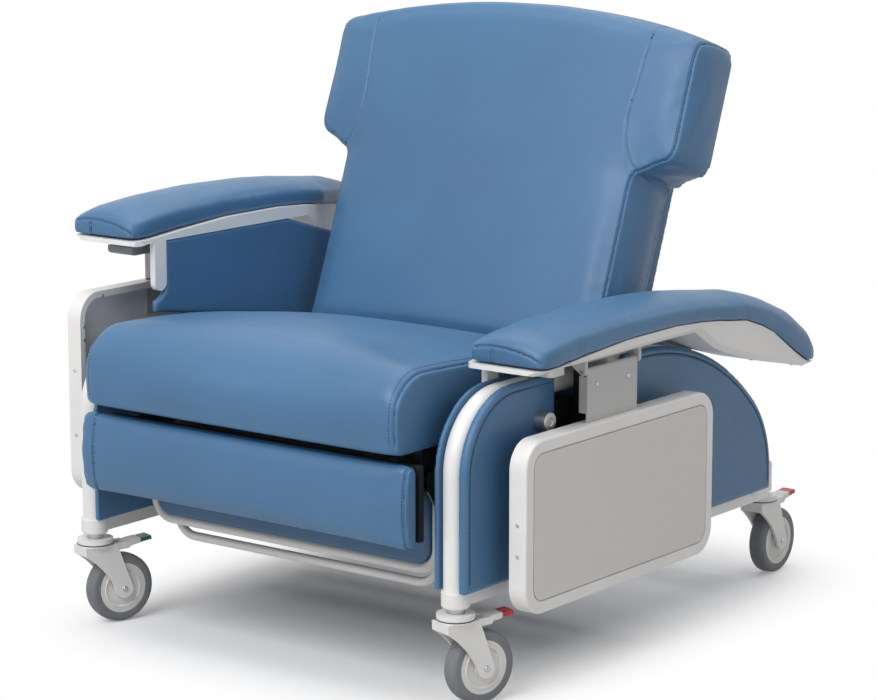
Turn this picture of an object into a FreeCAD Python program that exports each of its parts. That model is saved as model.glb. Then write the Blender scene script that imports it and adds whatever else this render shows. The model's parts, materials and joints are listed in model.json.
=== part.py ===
"""Medical recliner on four casters, with drop arms, fold-up side trays, a reclining winged back and a
leg rest that glides out as the back goes down.

The chair faces -Y and +Z is up, in millimetres. Left and right are the sitter's own: left is +X.
Lengths along Y are written from the front caster stems, and every piece is then set back by front_y, so
that the origin lies on the floor under the middle of the chair. The left arm is dropped and the right arm
raised.
"""
import FreeCAD, Part
import math
import os
import re
import Sketcher
from FreeCAD import Placement, Rotation, Vector

SIZES = [
    # Side frames: an arch of round tube over a lower rail, with a middle rail for the arm guide
    ("front_y", -519.6, "front stem axis from the middle of the chair"),
    ("stem_x", 410, "front post axis from the mid-plane"),
    ("rear_stem_x", 375, "rear stem axis from the mid-plane"),
    ("wheelbase", 1018, "front stems to rear stems"),
    ("tube_d", 42, "arch tube diameter"),
    ("tube_wall", 2, "wall of every tube"),
    ("post_foot", 176, "lower end of the front post"),
    ("bend_z", 395, "start of the front bend"),
    ("bend_r", 115, "front bend radius of the tube's axis"),
    ("crest_y", 500, "where the arch starts to fall"),
    ("crest_r", 512, "radius of the long rear curve"),
    ("rear_curve_z", 235, "height at which the tight rear curve ends"),
    ("rear_leg_y", 913, "rear leg of the arch"),
    ("rail_w", 28, "lower rail width"),
    ("rail_h", 26, "lower rail height"),
    ("rail_z", 174, "underside of the lower rail"),
    ("rail_start", 14, "front end of the rails, inside the post's wall"),
    ("rail_end", 964, "rear end of the lower rail"),
    ("mid_rail_w", 24, "middle rail width"),
    ("mid_rail_h", 30, "middle rail height"),
    ("mid_rail_z", 340, "underside of the middle rail"),
    # Upholstered side panels on both sides of the arch
    ("fit_gap", 0.3, "clearance between neighbouring pieces"),
    ("panel_t", 16, "outer side panel thickness"),
    ("panel_lap", 22, "side panels' edge beyond the tube's axis"),
    ("panel_z", 200.3, "lower edge of the side panels"),
    ("right_panel_front", 33, "front edge of the right side panel, behind its post"),
    ("panel_edge_r", 6, "rounding of the outer panel's edge"),
    ("liner_t", 7.5, "inner side panel thickness"),
    ("notch_front", 228, "front edge of the cut-out for the arm guide"),
    ("notch_rear", 440, "rear edge of that cut-out"),
    ("notch_z", 300, "lower edge of that cut-out"),
    # Rear cross tube and caster sockets
    ("cross_w", 28, "cross tube width along Y"),
    ("ear_w", 44, "socket arm width"),
    ("socket_top", 225, "upper end of a rear caster socket"),
    # Casters
    ("collar_r", 24.5, "post collar radius"),
    ("collar_z", 172, "underside of the post collar"),
    ("collar_top", 200, "upper end of the post collar"),
    ("stem_r", 11, "stem neck radius"),
    ("flange_r", 15, "stem flange radius"),
    ("pivot_r", 9, "swivel journal radius"),
    ("run_gap", 0.05, "running clearance of journals and hinge pins, on the radius"),
    ("cap_r", 32.5, "fork cap radius"),
    ("cap_top", 162, "top of the fork cap"),
    ("cap_h", 13, "fork cap height"),
    ("wheel_r", 63.5, "wheel radius"),
    ("wheel_w", 32, "tyre width"),
    ("hub_r", 46, "hub radius"),
    ("trail", 47, "axle behind the stem"),
    ("axle_r", 5, "axle radius"),
    ("fork_w", 48, "fork width over its legs"),
    ("fork_leg", 5.5, "fork leg thickness"),
    ("fork_eye", 17, "fork leg rounding at the axle"),
    ("front_swivel", -18, "front casters' swivel angle at rest, degrees"),
    ("rear_swivel", 0, "rear casters' swivel angle at rest, degrees"),
    ("pedal_pin_y", 58, "brake pedal pin behind the stem"),
    ("pedal_pin_z", 143, "brake pedal pin height"),
    ("pedal_pin_r", 2.5, "brake pedal pin radius"),
    ("pedal_w", 26, "brake pedal width"),
    ("pedal_reach", 52, "brake pedal length behind its pin"),
    ("pedal_t", 7, "brake pedal thickness"),
    ("pedal_rise", 3, "brake pedal's end above its pin"),
    ("lug_t", 4.5, "pedal lug thickness"),
    # Seat
    ("seat_half", 350, "half the seat cushion's width"),
    ("seat_front", -86, "seat front face"),
    ("seat_z", 430, "seat underside"),
    ("seat_crest", 585, "seat's highest point, behind its nose"),
    ("seat_fall", 71, "fall of the seat top from its crest to the rear edge"),
    ("seat_crown", 30, "seat top's fall from the middle to the sides"),
    ("seat_back_gap", 7, "clearance between the seat and the back's face"),
    ("seat_draw", 12, "seat cover drawn in at the ends"),
    ("seat_rail_x", 300, "inner face of a seat rail"),
    ("seat_rail_w", 25, "seat rail width"),
    ("seat_rail_h", 44, "seat rail height"),
    ("seat_rail_front", 20, "front end of the seat rails"),
    ("seat_rail_rear", 600, "rear end of the seat rails"),
    ("front_leg_y", 230, "front seat uprights and their cross tube"),
    ("rear_leg_seat_y", 570, "rear seat uprights and their cross tube"),
    ("skirt_y", 76, "front skirt plate under the seat"),
    ("skirt_t", 4, "skirt plate thickness"),
    ("skirt_z", 371, "lower edge of the skirt plate"),
    ("skirt_half", 362, "half the skirt's width, over its outer plates"),
    ("skirt_gap", 4, "clearance of the skirt beside the slide bars"),
    ("slat_h", 13, "seat slat thickness"),
    ("slat_w", 40, "seat slat width"),
    # Backrest, in a frame that leans with it: across, up the slope, and into the back
    ("back_lean", 20.5, "backrest lean at rest, degrees"),
    ("back_foot_y", 511, "front face of the back at back_foot_z"),
    ("back_foot_z", 500, "height that the back's lengths start from"),
    ("back_half", 331, "half the back's width"),
    ("back_low", -12, "lower edge of the back cushion"),
    ("back_top", 646, "top of the back cushion at its middle"),
    ("back_t", 122, "back cushion thickness"),
    ("back_crown", 15, "bulge of the back's face"),
    ("back_edge_r", 14, "rounding of the back cushion's front edges"),
    ("wing_half", 408, "half the width over the head wings at their front seam"),
    ("wing_low", 345, "lower edge of the wings at the body"),
    ("wing_rise", 17, "fall of the wing's lower edge towards the body"),
    ("wing_corner", 34, "rounding of the wing's lower corner"),
    ("wing_top", 603, "wing top at its corner"),
    ("wing_top_corner", 34, "rounding of the wing's upper corner"),
    ("notch_r", 18, "rounding between the body and a wing"),
    ("side_bulge", 12, "bulge of the back cushion's sides"),
    ("rear_rise", 14, "rise of the back cushion's top towards its rear"),
    ("cover_half", 322, "half the rear cover's width"),
    ("cover_top", 584, "upper edge of the rear cover"),
    ("cover_t", 34, "rear cover depth"),
    ("cover_wall", 8, "rear cover wall"),
    ("cover_corner", 40, "rear cover corner radius"),
    ("back_bar_x", 286, "inner face of a back bar"),
    ("back_bar_w", 20, "back bar width"),
    ("back_bar_t", 18, "back bar depth"),
    ("back_pivot_y", 575, "recline pivot"),
    ("back_pivot_z", 430, "recline pivot"),
    ("pivot_bolt_r", 7, "recline bolt radius"),
    ("eye_r", 18, "rounding of the pivot lugs"),
    ("back_lug_x", 277.7, "inner face of a back lug"),
    ("pivot_plate_t", 8, "pivot lug and plate thickness"),
    # Leg rest
    ("slide_bar_w", 20, "leg rest slide bar width"),
    ("slide_bar_h", 30, "leg rest slide bar height"),
    ("slide_bar_rear", 400, "rear end of the slide bars"),
    ("leg_pivot_z", 400, "leg rest pivot height, above the front stems"),
    ("leg_pin_r", 6, "leg rest pin radius"),
    ("leg_eye_r", 14, "rounding of the leg rest lugs"),
    ("leg_lug_t", 11, "leg rest lug thickness"),
    ("pad_half", 366, "half the leg rest pad's width"),
    ("pad_front", -74, "leg rest pad's front face"),
    ("pad_t", 43, "leg rest pad thickness"),
    ("pad_low", 271, "leg rest pad's lower edge"),
    ("pad_high", 415, "leg rest pad's upper edge"),
    ("pad_fall", 8, "fall of the leg rest pad's top towards the rear"),
    ("pad_crown", 6, "bulge of the leg rest pad's face"),
    ("board_t", 12, "leg rest board thickness"),
    ("board_inset", 8, "leg rest board inside the pad's edge"),
    ("foot_half", 311, "half the foot panel's width"),
    ("foot_y", 58, "foot panel's front face"),
    ("foot_t", 10, "foot panel thickness"),
    ("foot_low", 213, "foot panel's lower edge"),
    ("foot_high", 350, "foot panel's upper edge"),
    ("foot_corner", 30, "foot panel's lower corners"),
    ("rim_r", 9, "foot panel rim tube radius"),
    ("strut_x", 235, "inner face of a foot panel strut"),
    ("strut_w", 12, "foot panel strut width"),
    ("strut_h", 14, "foot panel strut height"),
    ("loop_half", 296, "half the foot loop's width, between its legs' axes"),
    ("loop_y", 100, "foot loop's plane"),
    ("loop_z", 168, "foot loop's lower run"),
    ("loop_r", 8, "foot loop tube radius"),
    ("loop_corner", 40, "foot loop's bends"),
    ("loop_top", 340, "upper ends of the foot loop"),
    ("sleeve_z", 262, "lower end of the loop's sleeves"),
    ("sleeve_h", 66, "length of the loop's sleeves"),
    ("sleeve_wall", 5, "wall of the loop's sleeves"),
    # Drop arms, written for the dropped left arm
    ("arm_drop", 130, "travel of an arm"),
    ("arm_in", 387, "inner edge of an arm pad"),
    ("arm_out", 532, "outer edge of an arm pad"),
    ("arm_z", 568, "underside of an arm pad at its front"),
    ("arm_arch", 18, "rise of that underside towards the middle of the arm"),
    ("arm_t", 50, "arm pad thickness at its middle"),
    ("shell_z", 562, "level underside of the arm shell"),
    ("shell_lip", 10, "outer lip of the shell above that underside"),
    ("shell_in", 368, "inner edge of the arm shell"),
    ("shell_out", 526, "outer edge of the arm shell"),
    ("leg_front", 127, "front of the arm's end leg"),
    ("leg_rear", 157.5, "rear of the arm's end leg"),
    ("leg_low", 471, "lower end of the arm's end leg"),
    ("inner_t", 12, "arm inner panel thickness"),
    ("inner_rear", 760, "rear edge of the arm inner panel"),
    ("inner_low_front", 433, "lower edge of the inner panel at its front"),
    ("inner_low_rear", 363, "lower edge of the inner panel at its rear"),
    ("boss_front", 186, "front of the moulded boss under the shell"),
    ("boss_len", 46, "length of that boss"),
    ("boss_h", 28, "depth of that boss"),
    ("boss_x", 440, "middle of that boss"),
    ("boss_w", 56, "width of that boss"),
    ("lever_front", 116, "front tip of the release lever"),
    ("lever_t", 9, "release lever thickness"),
    ("lever_fall", 9, "release lever below the shell"),
    ("post_x", 440, "inner face of the slide post"),
    ("post_t", 20, "slide post thickness"),
    ("post_y", 315, "front of the slide post"),
    ("post_w", 50, "slide post width"),
    ("post_low", 303, "lower end of the slide post"),
    ("head_in", 405, "inner edge of the carriage head"),
    ("head_out", 486, "outer edge of the carriage head"),
    ("head_t", 11.5, "carriage head thickness"),
    ("guide_plate_t", 8.4, "arm guide's plate"),
    ("guide_wall", 10, "arm guide's wall round the post"),
    ("guide_z", 303, "lower end of the arm guide"),
    ("guide_top", 526, "upper end of the arm guide"),
    ("plate_front", 165, "front of the arm guide's plate"),
    ("plate_z", 330, "lower edge of the arm guide's plate"),
    ("plate_top", 478, "upper edge of the arm guide's plate"),
    ("knob_y", 181, "arm lock knob"),
    ("knob_z", 461, "arm lock knob"),
    ("knob_r", 16.5, "arm lock knob radius"),
    ("knob_len", 24, "arm lock knob length"),
    ("knob_shaft_r", 6, "arm lock knob shaft radius"),
    ("knob_hole_r", 8, "hole for that shaft in the side panel"),
    ("knob_sleeve_r", 10, "sleeve for that shaft"),
    ("knob_sleeve_len", 18, "sleeve for that shaft"),
    # Side trays
    ("tray_front", 49, "front edge of a tray"),
    ("tray_len", 570, "tray length"),
    ("tray_z", 157, "lower edge of the hanging left tray"),
    ("tray_h", 295, "left tray height"),
    ("right_tray_h", 376, "right tray height"),
    ("right_tray_rise", 12, "right tray's upper edge above the left one's, with both arms dropped"),
    ("tray_in", 483, "inner face of a tray"),
    ("tray_t", 34, "tray thickness"),
    ("tray_corner", 48, "tray corner radius"),
    ("tray_edge_r", 4, "rounding of the tray's outer edge"),
    ("tray_rim", 21, "tray rim round the panel"),
    ("tray_wall", 12, "tray wall round its hollow back"),
    ("tray_web", 10.7, "tray web behind the panel"),
    ("insert_t", 4, "tray panel thickness"),
    ("insert_gap", 2.5, "groove round the tray panel"),
    ("hinge_x", 497, "tray hinge rod"),
    ("hinge_z", 540, "tray hinge rod"),
    ("rod_r", 3, "tray hinge rod radius"),
    ("barrel_r", 5, "rolled edge of the tray bracket"),
    ("bracket_t", 3, "tray bracket thickness"),
    ("bracket_front", 244, "front edge of the tray bracket"),
    ("bracket_w", 150, "tray bracket width"),
    ("bracket_low", 400, "lower edge of the tray bracket"),
    ("flange_d", 17, "folded sides of the tray bracket"),
    ("hinge_ear", 8, "tray hinge ear thickness"),
    ("ear_r", 6.7, "rounding of the tray hinge ears"),
    ("hinge_gap", 1.5, "end play of the tray hinge"),
]

DERIVED = [
    ("arch_top", "=bend_z + bend_r", "tube axis at the top of the arch"),
    ("crest_cz", "=arch_top - crest_r", "centre height of the long rear curve"),
    ("arch_fall", "=rear_curve_z - crest_cz", "height of the tight curve's centre over the long one's"),
    ("arch_run", "=rear_leg_y - crest_y", "from the crest to the rear leg"),
    ("rear_r", "=(crest_r^2 - arch_run^2 - arch_fall^2) / (2 * (crest_r - arch_run))", "radius of the tight rear curve"),
    ("rear_cy", "=rear_leg_y - rear_r", "centre of the tight rear curve"),
    ("rear_cz", "=rear_curve_z", "its height"),
    ("turn_y", "=(rear_cy - crest_y) / (crest_r - rear_r)", "direction of the point where they meet"),
    ("turn_z", "=(rear_cz - crest_cz) / (crest_r - rear_r)", "direction of the point where they meet"),
    ("half_a", "=sqrt(turn_y^2 + (1 + turn_z)^2)", "length of the long curve's middle direction"),
    ("half_b", "=sqrt((1 + turn_y)^2 + turn_z^2)", "length of the tight curve's middle direction"),
    ("diag", "=sqrt(0.5)", "middle of a quarter turn"),
    ("panel_x", "=stem_x + tube_d / 2 + fit_gap", "inner face of the outer side panel"),
    ("liner_x", "=stem_x - tube_d / 2 - fit_gap - liner_t", "inner face of the inner side panel"),
    ("rail_x", "=stem_x + 15 - rail_w", "inner face of the lower rail"),
    ("mid_rail_x", "=stem_x + 12 - mid_rail_w", "inner face of the middle rail"),
    ("rail_top", "=rail_z + rail_h", "top of the lower rail"),
    ("seat_rear_top", "=seat_crest - seat_fall", "seat top at its rear edge"),
    ("seat_rail_z", "=seat_z - fit_gap - seat_rail_h", "underside of a seat rail"),
    ("plate_x", "=mid_rail_x + mid_rail_w + fit_gap", "inner face of the arm guide's plate"),
    ("head_z", "=shell_z - fit_gap", "top of the carriage head"),
    ("board_y", "=pad_front + pad_t + fit_gap", "front face of the leg rest board"),
    ("foot_board_y", "=foot_y + foot_t + fit_gap", "front face of the foot board"),
    ("slide_x", "=seat_rail_x - fit_gap - slide_bar_w", "inner face of a slide bar"),
    ("tray_top", "=tray_z + tray_h", "upper edge of the hanging left tray"),
    ("bracket_rear", "=bracket_front + bracket_w", "rear edge of the tray bracket"),
]

doc = FreeCAD.newDocument("medical_recliner")
sheet = doc.addObject("Spreadsheet::Sheet", "Sizes")
for row, (alias, content, note) in enumerate(SIZES + DERIVED, start=1):
    sheet.set(f"A{row}", note)
    sheet.set(f"B{row}", str(content))
    sheet.setAlias(f"B{row}", alias)
doc.recompute()

ALIASES = {alias for alias, _, _ in SIZES + DERIVED}
gauge = doc.addObject("App::FeaturePython", "Gauge")
gauge.addProperty("App::PropertyFloat", "reading")
NODES = {}


def formula(text):
    """An expression over the sheet, from one that uses the bare names of its cells."""
    return re.sub(r"[a-z_]\w*", lambda m: "Sizes." + m[0] if m[0] in ALIASES else m[0], str(text))


def number(text):
    """The value that an expression over the sheet has now."""
    gauge.setExpression("reading", formula(text))
    gauge.recompute()
    return gauge.reading


def point(pair):
    return Vector(number(pair[0]), number(pair[1]), 0)


def keep(label, piece, rests=True):
    """Names a finished piece and, where its lengths start at the front stems, sets it back by front_y."""
    piece.Label = label
    if rests:
        piece.setExpression("Placement.Base.y", formula("front_y"))
    NODES[label] = piece
    return piece


def origin_plane(body, plane):
    return next(f for f in body.Origin.OriginFeatures if f.Role == plane + "_Plane")


def place_point(sketch, geometry, vertex, pair):
    for kind, text in zip(("DistanceX", "DistanceY"), pair):
        index = sketch.addConstraint(Sketcher.Constraint(kind, -1, 1, geometry, vertex, number(text)))
        sketch.setExpression(f"Constraints[{index}]", formula(text))


def fix_bulge(sketch, geometry, start, middle, end):
    """Ties an arc's centre to its three points, in the direction that its ends leave free."""
    ends = [(f"({pair[0]})", f"({pair[1]})") for pair in (start, middle, end)]
    squares = [f"({u}^2 + {v}^2)" for u, v in ends]
    turns = list(zip(squares, ends[1:] + ends[:1], ends[2:] + ends[:2]))
    area = " + ".join(f"{u} * ({after[1]} - {last[1]})" for (u, _), (_, after, last) in zip(ends, turns))
    chord = point(end) - point(start)
    if abs(chord.x) > abs(chord.y):
        kind = "DistanceY"
        moment = " + ".join(f"{square} * ({last[0]} - {after[0]})" for square, after, last in turns)
    else:
        kind = "DistanceX"
        moment = " + ".join(f"{square} * ({after[1]} - {last[1]})" for square, after, last in turns)
    text = f"({moment}) / (2 * ({area}))"
    index = sketch.addConstraint(Sketcher.Constraint(kind, -1, 1, geometry, 3, number(text)))
    sketch.setExpression(f"Constraints[{index}]", formula(text))


def draw(sketch, path, closed=True):
    """Draws one outline. Each step is a point, for a line, or (middle, end), for an arc through middle."""
    start = path[0]
    steps = path[1:] + ([start] if closed and path[-1] != start and path[-1][1] != start else [])
    here = start
    drawn = []
    for step in steps:
        is_arc = isinstance(step[0], tuple)
        end = step[1] if is_arc else step
        if is_arc:
            curve = Part.Arc(point(here), point(step[0]), point(end))
        else:
            curve = Part.LineSegment(point(here), point(end))
        geometry = sketch.addGeometry(curve)
        # Sketched arcs run anticlockwise, so one drawn the other way starts at its end.
        flipped = is_arc and sketch.getPoint(geometry, 1).distanceToPoint(point(here)) > 1e-6
        first, last = (2, 1) if flipped else (1, 2)
        if drawn:
            sketch.addConstraint(Sketcher.Constraint("Coincident", *drawn[-1][1:], geometry, first))
        place_point(sketch, geometry, first, here)
        if is_arc:
            fix_bulge(sketch, geometry, here, step[0], end)
        drawn.append((first, geometry, last))
        here = end
    if closed:
        first, geometry, _ = drawn[0]
        sketch.addConstraint(Sketcher.Constraint("Coincident", *drawn[-1][1:], geometry, first))
    else:
        place_point(sketch, drawn[-1][1], drawn[-1][2], here)


def draw_circle(sketch, centre, radius):
    geometry = sketch.addGeometry(Part.Circle(point(centre), Vector(0, 0, 1), number(radius)))
    place_point(sketch, geometry, 3, centre)
    index = sketch.addConstraint(Sketcher.Constraint("Radius", geometry, number(radius)))
    sketch.setExpression(f"Constraints[{index}]", formula(radius))


def new_body(name):
    return doc.addObject("PartDesign::Body", name)


def new_sketch(body, name, plane, offset="0"):
    sketch = body.newObject("Sketcher::SketchObject", name)
    sketch.AttachmentSupport = [(origin_plane(body, plane), "")]
    sketch.MapMode = "FlatFace"
    sketch.setExpression("AttachmentOffset.Base.z", formula(offset))
    return sketch


def add_slab(body, name, plane, outline, low, high, holes=()):
    """Pads an outline from low to high along the plane's normal axis."""
    offset = f"-({high})" if plane == "XZ" else low
    sketch = new_sketch(body, name + "_sketch", plane, offset)
    draw(sketch, outline)
    for centre, radius in holes:
        draw_circle(sketch, centre, radius)
    pad = body.newObject("PartDesign::Pad", name)
    pad.Profile = sketch
    pad.setExpression("Length", formula(f"({high}) - ({low})"))
    doc.recompute()
    return pad


def add_rod(body, name, plane, centre, radius, low, high):
    """Pads a round rod from low to high along the plane's normal axis."""
    offset = f"-({high})" if plane == "XZ" else low
    sketch = new_sketch(body, name + "_sketch", plane, offset)
    draw_circle(sketch, centre, radius)
    pad = body.newObject("PartDesign::Pad", name)
    pad.Profile = sketch
    pad.setExpression("Length", formula(f"({high}) - ({low})"))
    doc.recompute()
    return pad


def cut_slab(body, name, plane, outline, low, high):
    """Cuts an outline away from low to high along the plane's normal axis."""
    before = body.Shape.Volume
    offset = f"-({low})" if plane == "XZ" else high
    sketch = new_sketch(body, name + "_sketch", plane, offset)
    if len(outline) == 2:
        draw_circle(sketch, *outline)
    else:
        draw(sketch, outline)
    pocket = body.newObject("PartDesign::Pocket", name)
    pocket.Profile = sketch
    pocket.setExpression("Length", formula(f"({high}) - ({low})"))
    doc.recompute()
    if not body.Shape.Volume < before:
        raise ValueError(name + " cuts nothing")
    return pocket


def slab(name, plane, outline, low, high, holes=()):
    body = new_body(name)
    add_slab(body, name + "_pad", plane, outline, low, high, holes)
    return body


def rectangle(u0, u1, v0, v1):
    return [(u0, v0), (u1, v0), (u1, v1), (u0, v1)]


def rounded(u0, u1, v0, v1, r):
    """A rectangle with all four corners rounded."""
    k = f"({r}) * (1 - diag)"
    return [(f"{u0} + {r}", v0), (f"{u1} - ({r})", v0),
            ((f"{u1} - {k}", f"{v0} + {k}"), (u1, f"{v0} + {r}")), (u1, f"{v1} - ({r})"),
            ((f"{u1} - {k}", f"{v1} - {k}"), (f"{u1} - ({r})", v1)), (f"{u0} + {r}", v1),
            ((f"{u0} + {k}", f"{v1} - {k}"), (u0, f"{v1} - ({r})")), (u0, f"{v0} + {r}"),
            ((f"{u0} + {k}", f"{v0} + {k}"), (f"{u0} + {r}", v0))]


def turned(name, profile):
    """A body turned about Z from an outline of (radius, height) points."""
    body = new_body(name)
    sketch = new_sketch(body, name + "_sketch", "XZ")
    draw(sketch, profile)
    revolution = body.newObject("PartDesign::Revolution", name + "_turn")
    revolution.Profile = sketch
    revolution.ReferenceAxis = (sketch, ["V_Axis"])
    revolution.Angle = 360
    doc.recompute()
    return body


def add_pipe(body, name, spine, profile):
    pipe = body.newObject("PartDesign::AdditivePipe", name)
    pipe.Profile = profile
    pipe.Spine = spine
    doc.recompute()
    return pipe


def round_edges(body, name, radius, test):
    """Fillets the edges of a body that pass the test."""
    sharp = body.Tip
    chosen = [f"Edge{i}" for i, edge in enumerate(sharp.Shape.Edges, start=1) if test(edge)]
    fillet = body.newObject("PartDesign::Fillet", name)
    fillet.Base = (sharp, chosen)
    fillet.setExpression("Radius", formula(radius))
    doc.recompute()
    return fillet


def level(edge, axis, value):
    """Whether an edge lies wholly in the plane where one coordinate has this value."""
    low = (edge.BoundBox.XMin, edge.BoundBox.YMin, edge.BoundBox.ZMin)[axis]
    high = (edge.BoundBox.XMax, edge.BoundBox.YMax, edge.BoundBox.ZMax)[axis]
    return abs(low - value) < 0.01 and abs(high - value) < 0.01


def box(name, x, y, z):
    """A Part box between the named pairs of limits."""
    piece = doc.addObject("Part::Box", name)
    for side, axis, (low, high) in zip(("Length", "Width", "Height"), "xyz", (x, y, z)):
        piece.setExpression(side, formula(f"({high}) - ({low})"))
        piece.setExpression("Placement.Base." + axis, formula(low))
    return piece


def joined(name, pieces):
    fuse = doc.addObject("Part::MultiFuse", name)
    fuse.Shapes = pieces
    doc.recompute()
    return fuse


def feature(name, shape):
    piece = doc.addObject("Part::Feature", name)
    piece.Shape = shape
    return piece


def across(sign, low, high):
    """A stretch along X on the left side, or its mirror image on the right."""
    return (low, high) if sign > 0 else (f"-({high})", f"-({low})")


def mirrored(label, source, rise="0"):
    """The other side's twin of a piece, raised where its arm is."""
    twin = feature(label, source.Shape.mirror(Vector(0, 0, 0), Vector(1, 0, 0)))
    twin.Placement = Placement(Vector(0, 0, number(rise)), Rotation()).multiply(twin.Placement)
    return keep(label, twin, rests=False)


def line_arc_wire(start, steps):
    """A closed wire through 3-D points; a step of two points is an arc through the first of them."""
    edges = []
    here = start
    for step in steps:
        if isinstance(step, tuple):
            edges.append(Part.Arc(here, step[0], step[1]).toShape())
            here = step[1]
        else:
            edges.append(Part.LineSegment(here, step).toShape())
            here = step
    if here.distanceToPoint(start) > 1e-6:
        edges.append(Part.LineSegment(here, start).toShape())
    return Part.Wire(edges)


def arch_outline(lap, foot):
    """The arch's outline in (Y, Z), lap away from the tube's axis, closed along the height foot."""
    bend = f"(bend_r + {lap})"
    crest = f"(crest_r + {lap})"
    rear = f"(rear_r + {lap})"
    return [(f"-({lap})", foot), (f"-({lap})", "bend_z"),
            ((f"bend_r - {bend} * diag", f"bend_z + {bend} * diag"), ("bend_r", f"arch_top + {lap}")),
            ("crest_y", f"arch_top + {lap}"),
            ((f"crest_y + {crest} * turn_y / half_a", f"crest_cz + {crest} * (1 + turn_z) / half_a"),
             (f"crest_y + {crest} * turn_y", f"crest_cz + {crest} * turn_z")),
            ((f"rear_cy + {rear} * (1 + turn_y) / half_b", f"rear_cz + {rear} * turn_z / half_b"),
             (f"rear_leg_y + {lap}", "rear_cz")),
            (f"rear_leg_y + {lap}", foot)]


def side_frame():
    """The welded arch of tube with its lower and middle rails."""
    body = new_body("side_frame")
    spine = new_sketch(body, "arch_path", "YZ", "stem_x")
    path = arch_outline("0", "post_foot")[:-1] + [("rear_leg_y", "rail_z + rail_h / 2")]
    draw(spine, path, closed=False)
    section = new_sketch(body, "arch_section", "XY", "post_foot")
    draw_circle(section, ("stem_x", "0"), "tube_d / 2")
    draw_circle(section, ("stem_x", "0"), "tube_d / 2 - tube_wall")
    add_pipe(body, "arch", spine, section)
    rails = (("lower_rail", "rail_x", "rail_w", "rail_z", "rail_h", "rail_end"),
             ("middle_rail", "mid_rail_x", "mid_rail_w", "mid_rail_z", "mid_rail_h", "rear_leg_y"))
    for name, x, width, z, height, end in rails:
        sketch = new_sketch(body, name + "_sketch", "XZ", f"-({end})")
        draw(sketch, rectangle(x, f"{x} + {width}", z, f"{z} + {height}"))
        draw(sketch, rectangle(f"{x} + tube_wall", f"{x} + {width} - tube_wall",
                               f"{z} + tube_wall", f"{z} + {height} - tube_wall"))
        rail = body.newObject("PartDesign::Pad", name)
        rail.Profile = sketch
        rail.setExpression("Length", formula(f"{end} - rail_start"))
    doc.recompute()
    cut_slab(body, "post_bore", "XY", (("stem_x", "0"), "tube_d / 2 - tube_wall"),
             "rail_z - 1", "mid_rail_z + mid_rail_h + 1")
    return body


def outer_panel(name):
    """An upholstered outer side panel, cut out round the arm guide and holed for the lock knob."""
    body = slab(name, "YZ", arch_outline("panel_lap", "panel_z"), "panel_x", "panel_x + panel_t",
                holes=[(("knob_y", "knob_z"), "knob_hole_r")])
    face = number("panel_x + panel_t")
    hole = number("knob_hole_r")
    round_edges(body, name + "_soft_edge", "panel_edge_r",
                lambda e: level(e, 0, face) and not (hasattr(e.Curve, "Radius") and e.Curve.Radius <= hole))
    cut_slab(body, name + "_notch", "YZ",
             rectangle("notch_front", "notch_rear", "notch_z", "arch_top + 2 * panel_lap"),
             "panel_x - 1", "panel_x + panel_t + 1")
    return body


def rear_cross_tube():
    """The rear cross tube with an arm and a tubular socket for each rear caster."""
    body = slab("rear_cross", "XZ",
                rectangle("-rail_x + fit_gap", "rail_x - fit_gap", "rail_z", "rail_top"),
                "rail_end - cross_w", "rail_end")
    for side, sign in (("left", ""), ("right", "-")):
        centre = (f"{sign}rear_stem_x", "wheelbase")
        inner = f"{sign}(rear_stem_x - ear_w / 2)"
        outer = f"{sign}(rear_stem_x + ear_w / 2)"
        add_slab(body, side + "_arm", "XY", rectangle(inner, outer, "rail_end - 1", "wheelbase"),
                 "rail_z", "rail_top")
        add_rod(body, side + "_socket", "XY", centre, "ear_w / 2", "collar_z", "socket_top")
        cut_slab(body, side + "_neck_bore", "XY", (centre, "stem_r + run_gap"), "collar_z - 1", "post_foot + 1")
        cut_slab(body, side + "_bore", "XY", (centre, "tube_d / 2 - tube_wall"), "post_foot", "socket_top + 1")
    return body


def stem():
    """A caster's expander stem: journal, flange, neck and the plug that grips inside the tube."""
    plug = "tube_d / 2 - tube_wall - fit_gap / 3"
    return turned("stem", [("0", "cap_top - cap_h - 9"), ("pivot_r", "cap_top - cap_h - 9"),
                           ("pivot_r", "cap_top + fit_gap"), ("flange_r", "cap_top + fit_gap"),
                           ("flange_r", "collar_z"), ("stem_r", "collar_z"), ("stem_r", "post_foot + 0.5"),
                           (plug, "post_foot + 2"), (plug, "socket_top - 6"), ("0", "socket_top - 6")])


def post_collar():
    """The plastic collar that closes the foot of a front post."""
    bore = "tube_d / 2 + fit_gap / 3"
    body = turned("collar", [("stem_r + run_gap", "collar_z"), ("collar_r - 2", "collar_z"),
                             ("collar_r", "collar_z + 3"), ("collar_r", "collar_top - 2"),
                             ("collar_r - 1.5", "collar_top"), (bore, "collar_top"), (bore, "post_foot"),
                             ("stem_r + run_gap", "post_foot")])
    half = "rail_w / 2 + 1 + fit_gap"
    cut_slab(body, "rail_slot", "XY", rectangle(f"-({half})", half, "0", "2 * collar_r"),
             "rail_z - fit_gap", "collar_top + 1")
    return body


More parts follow.
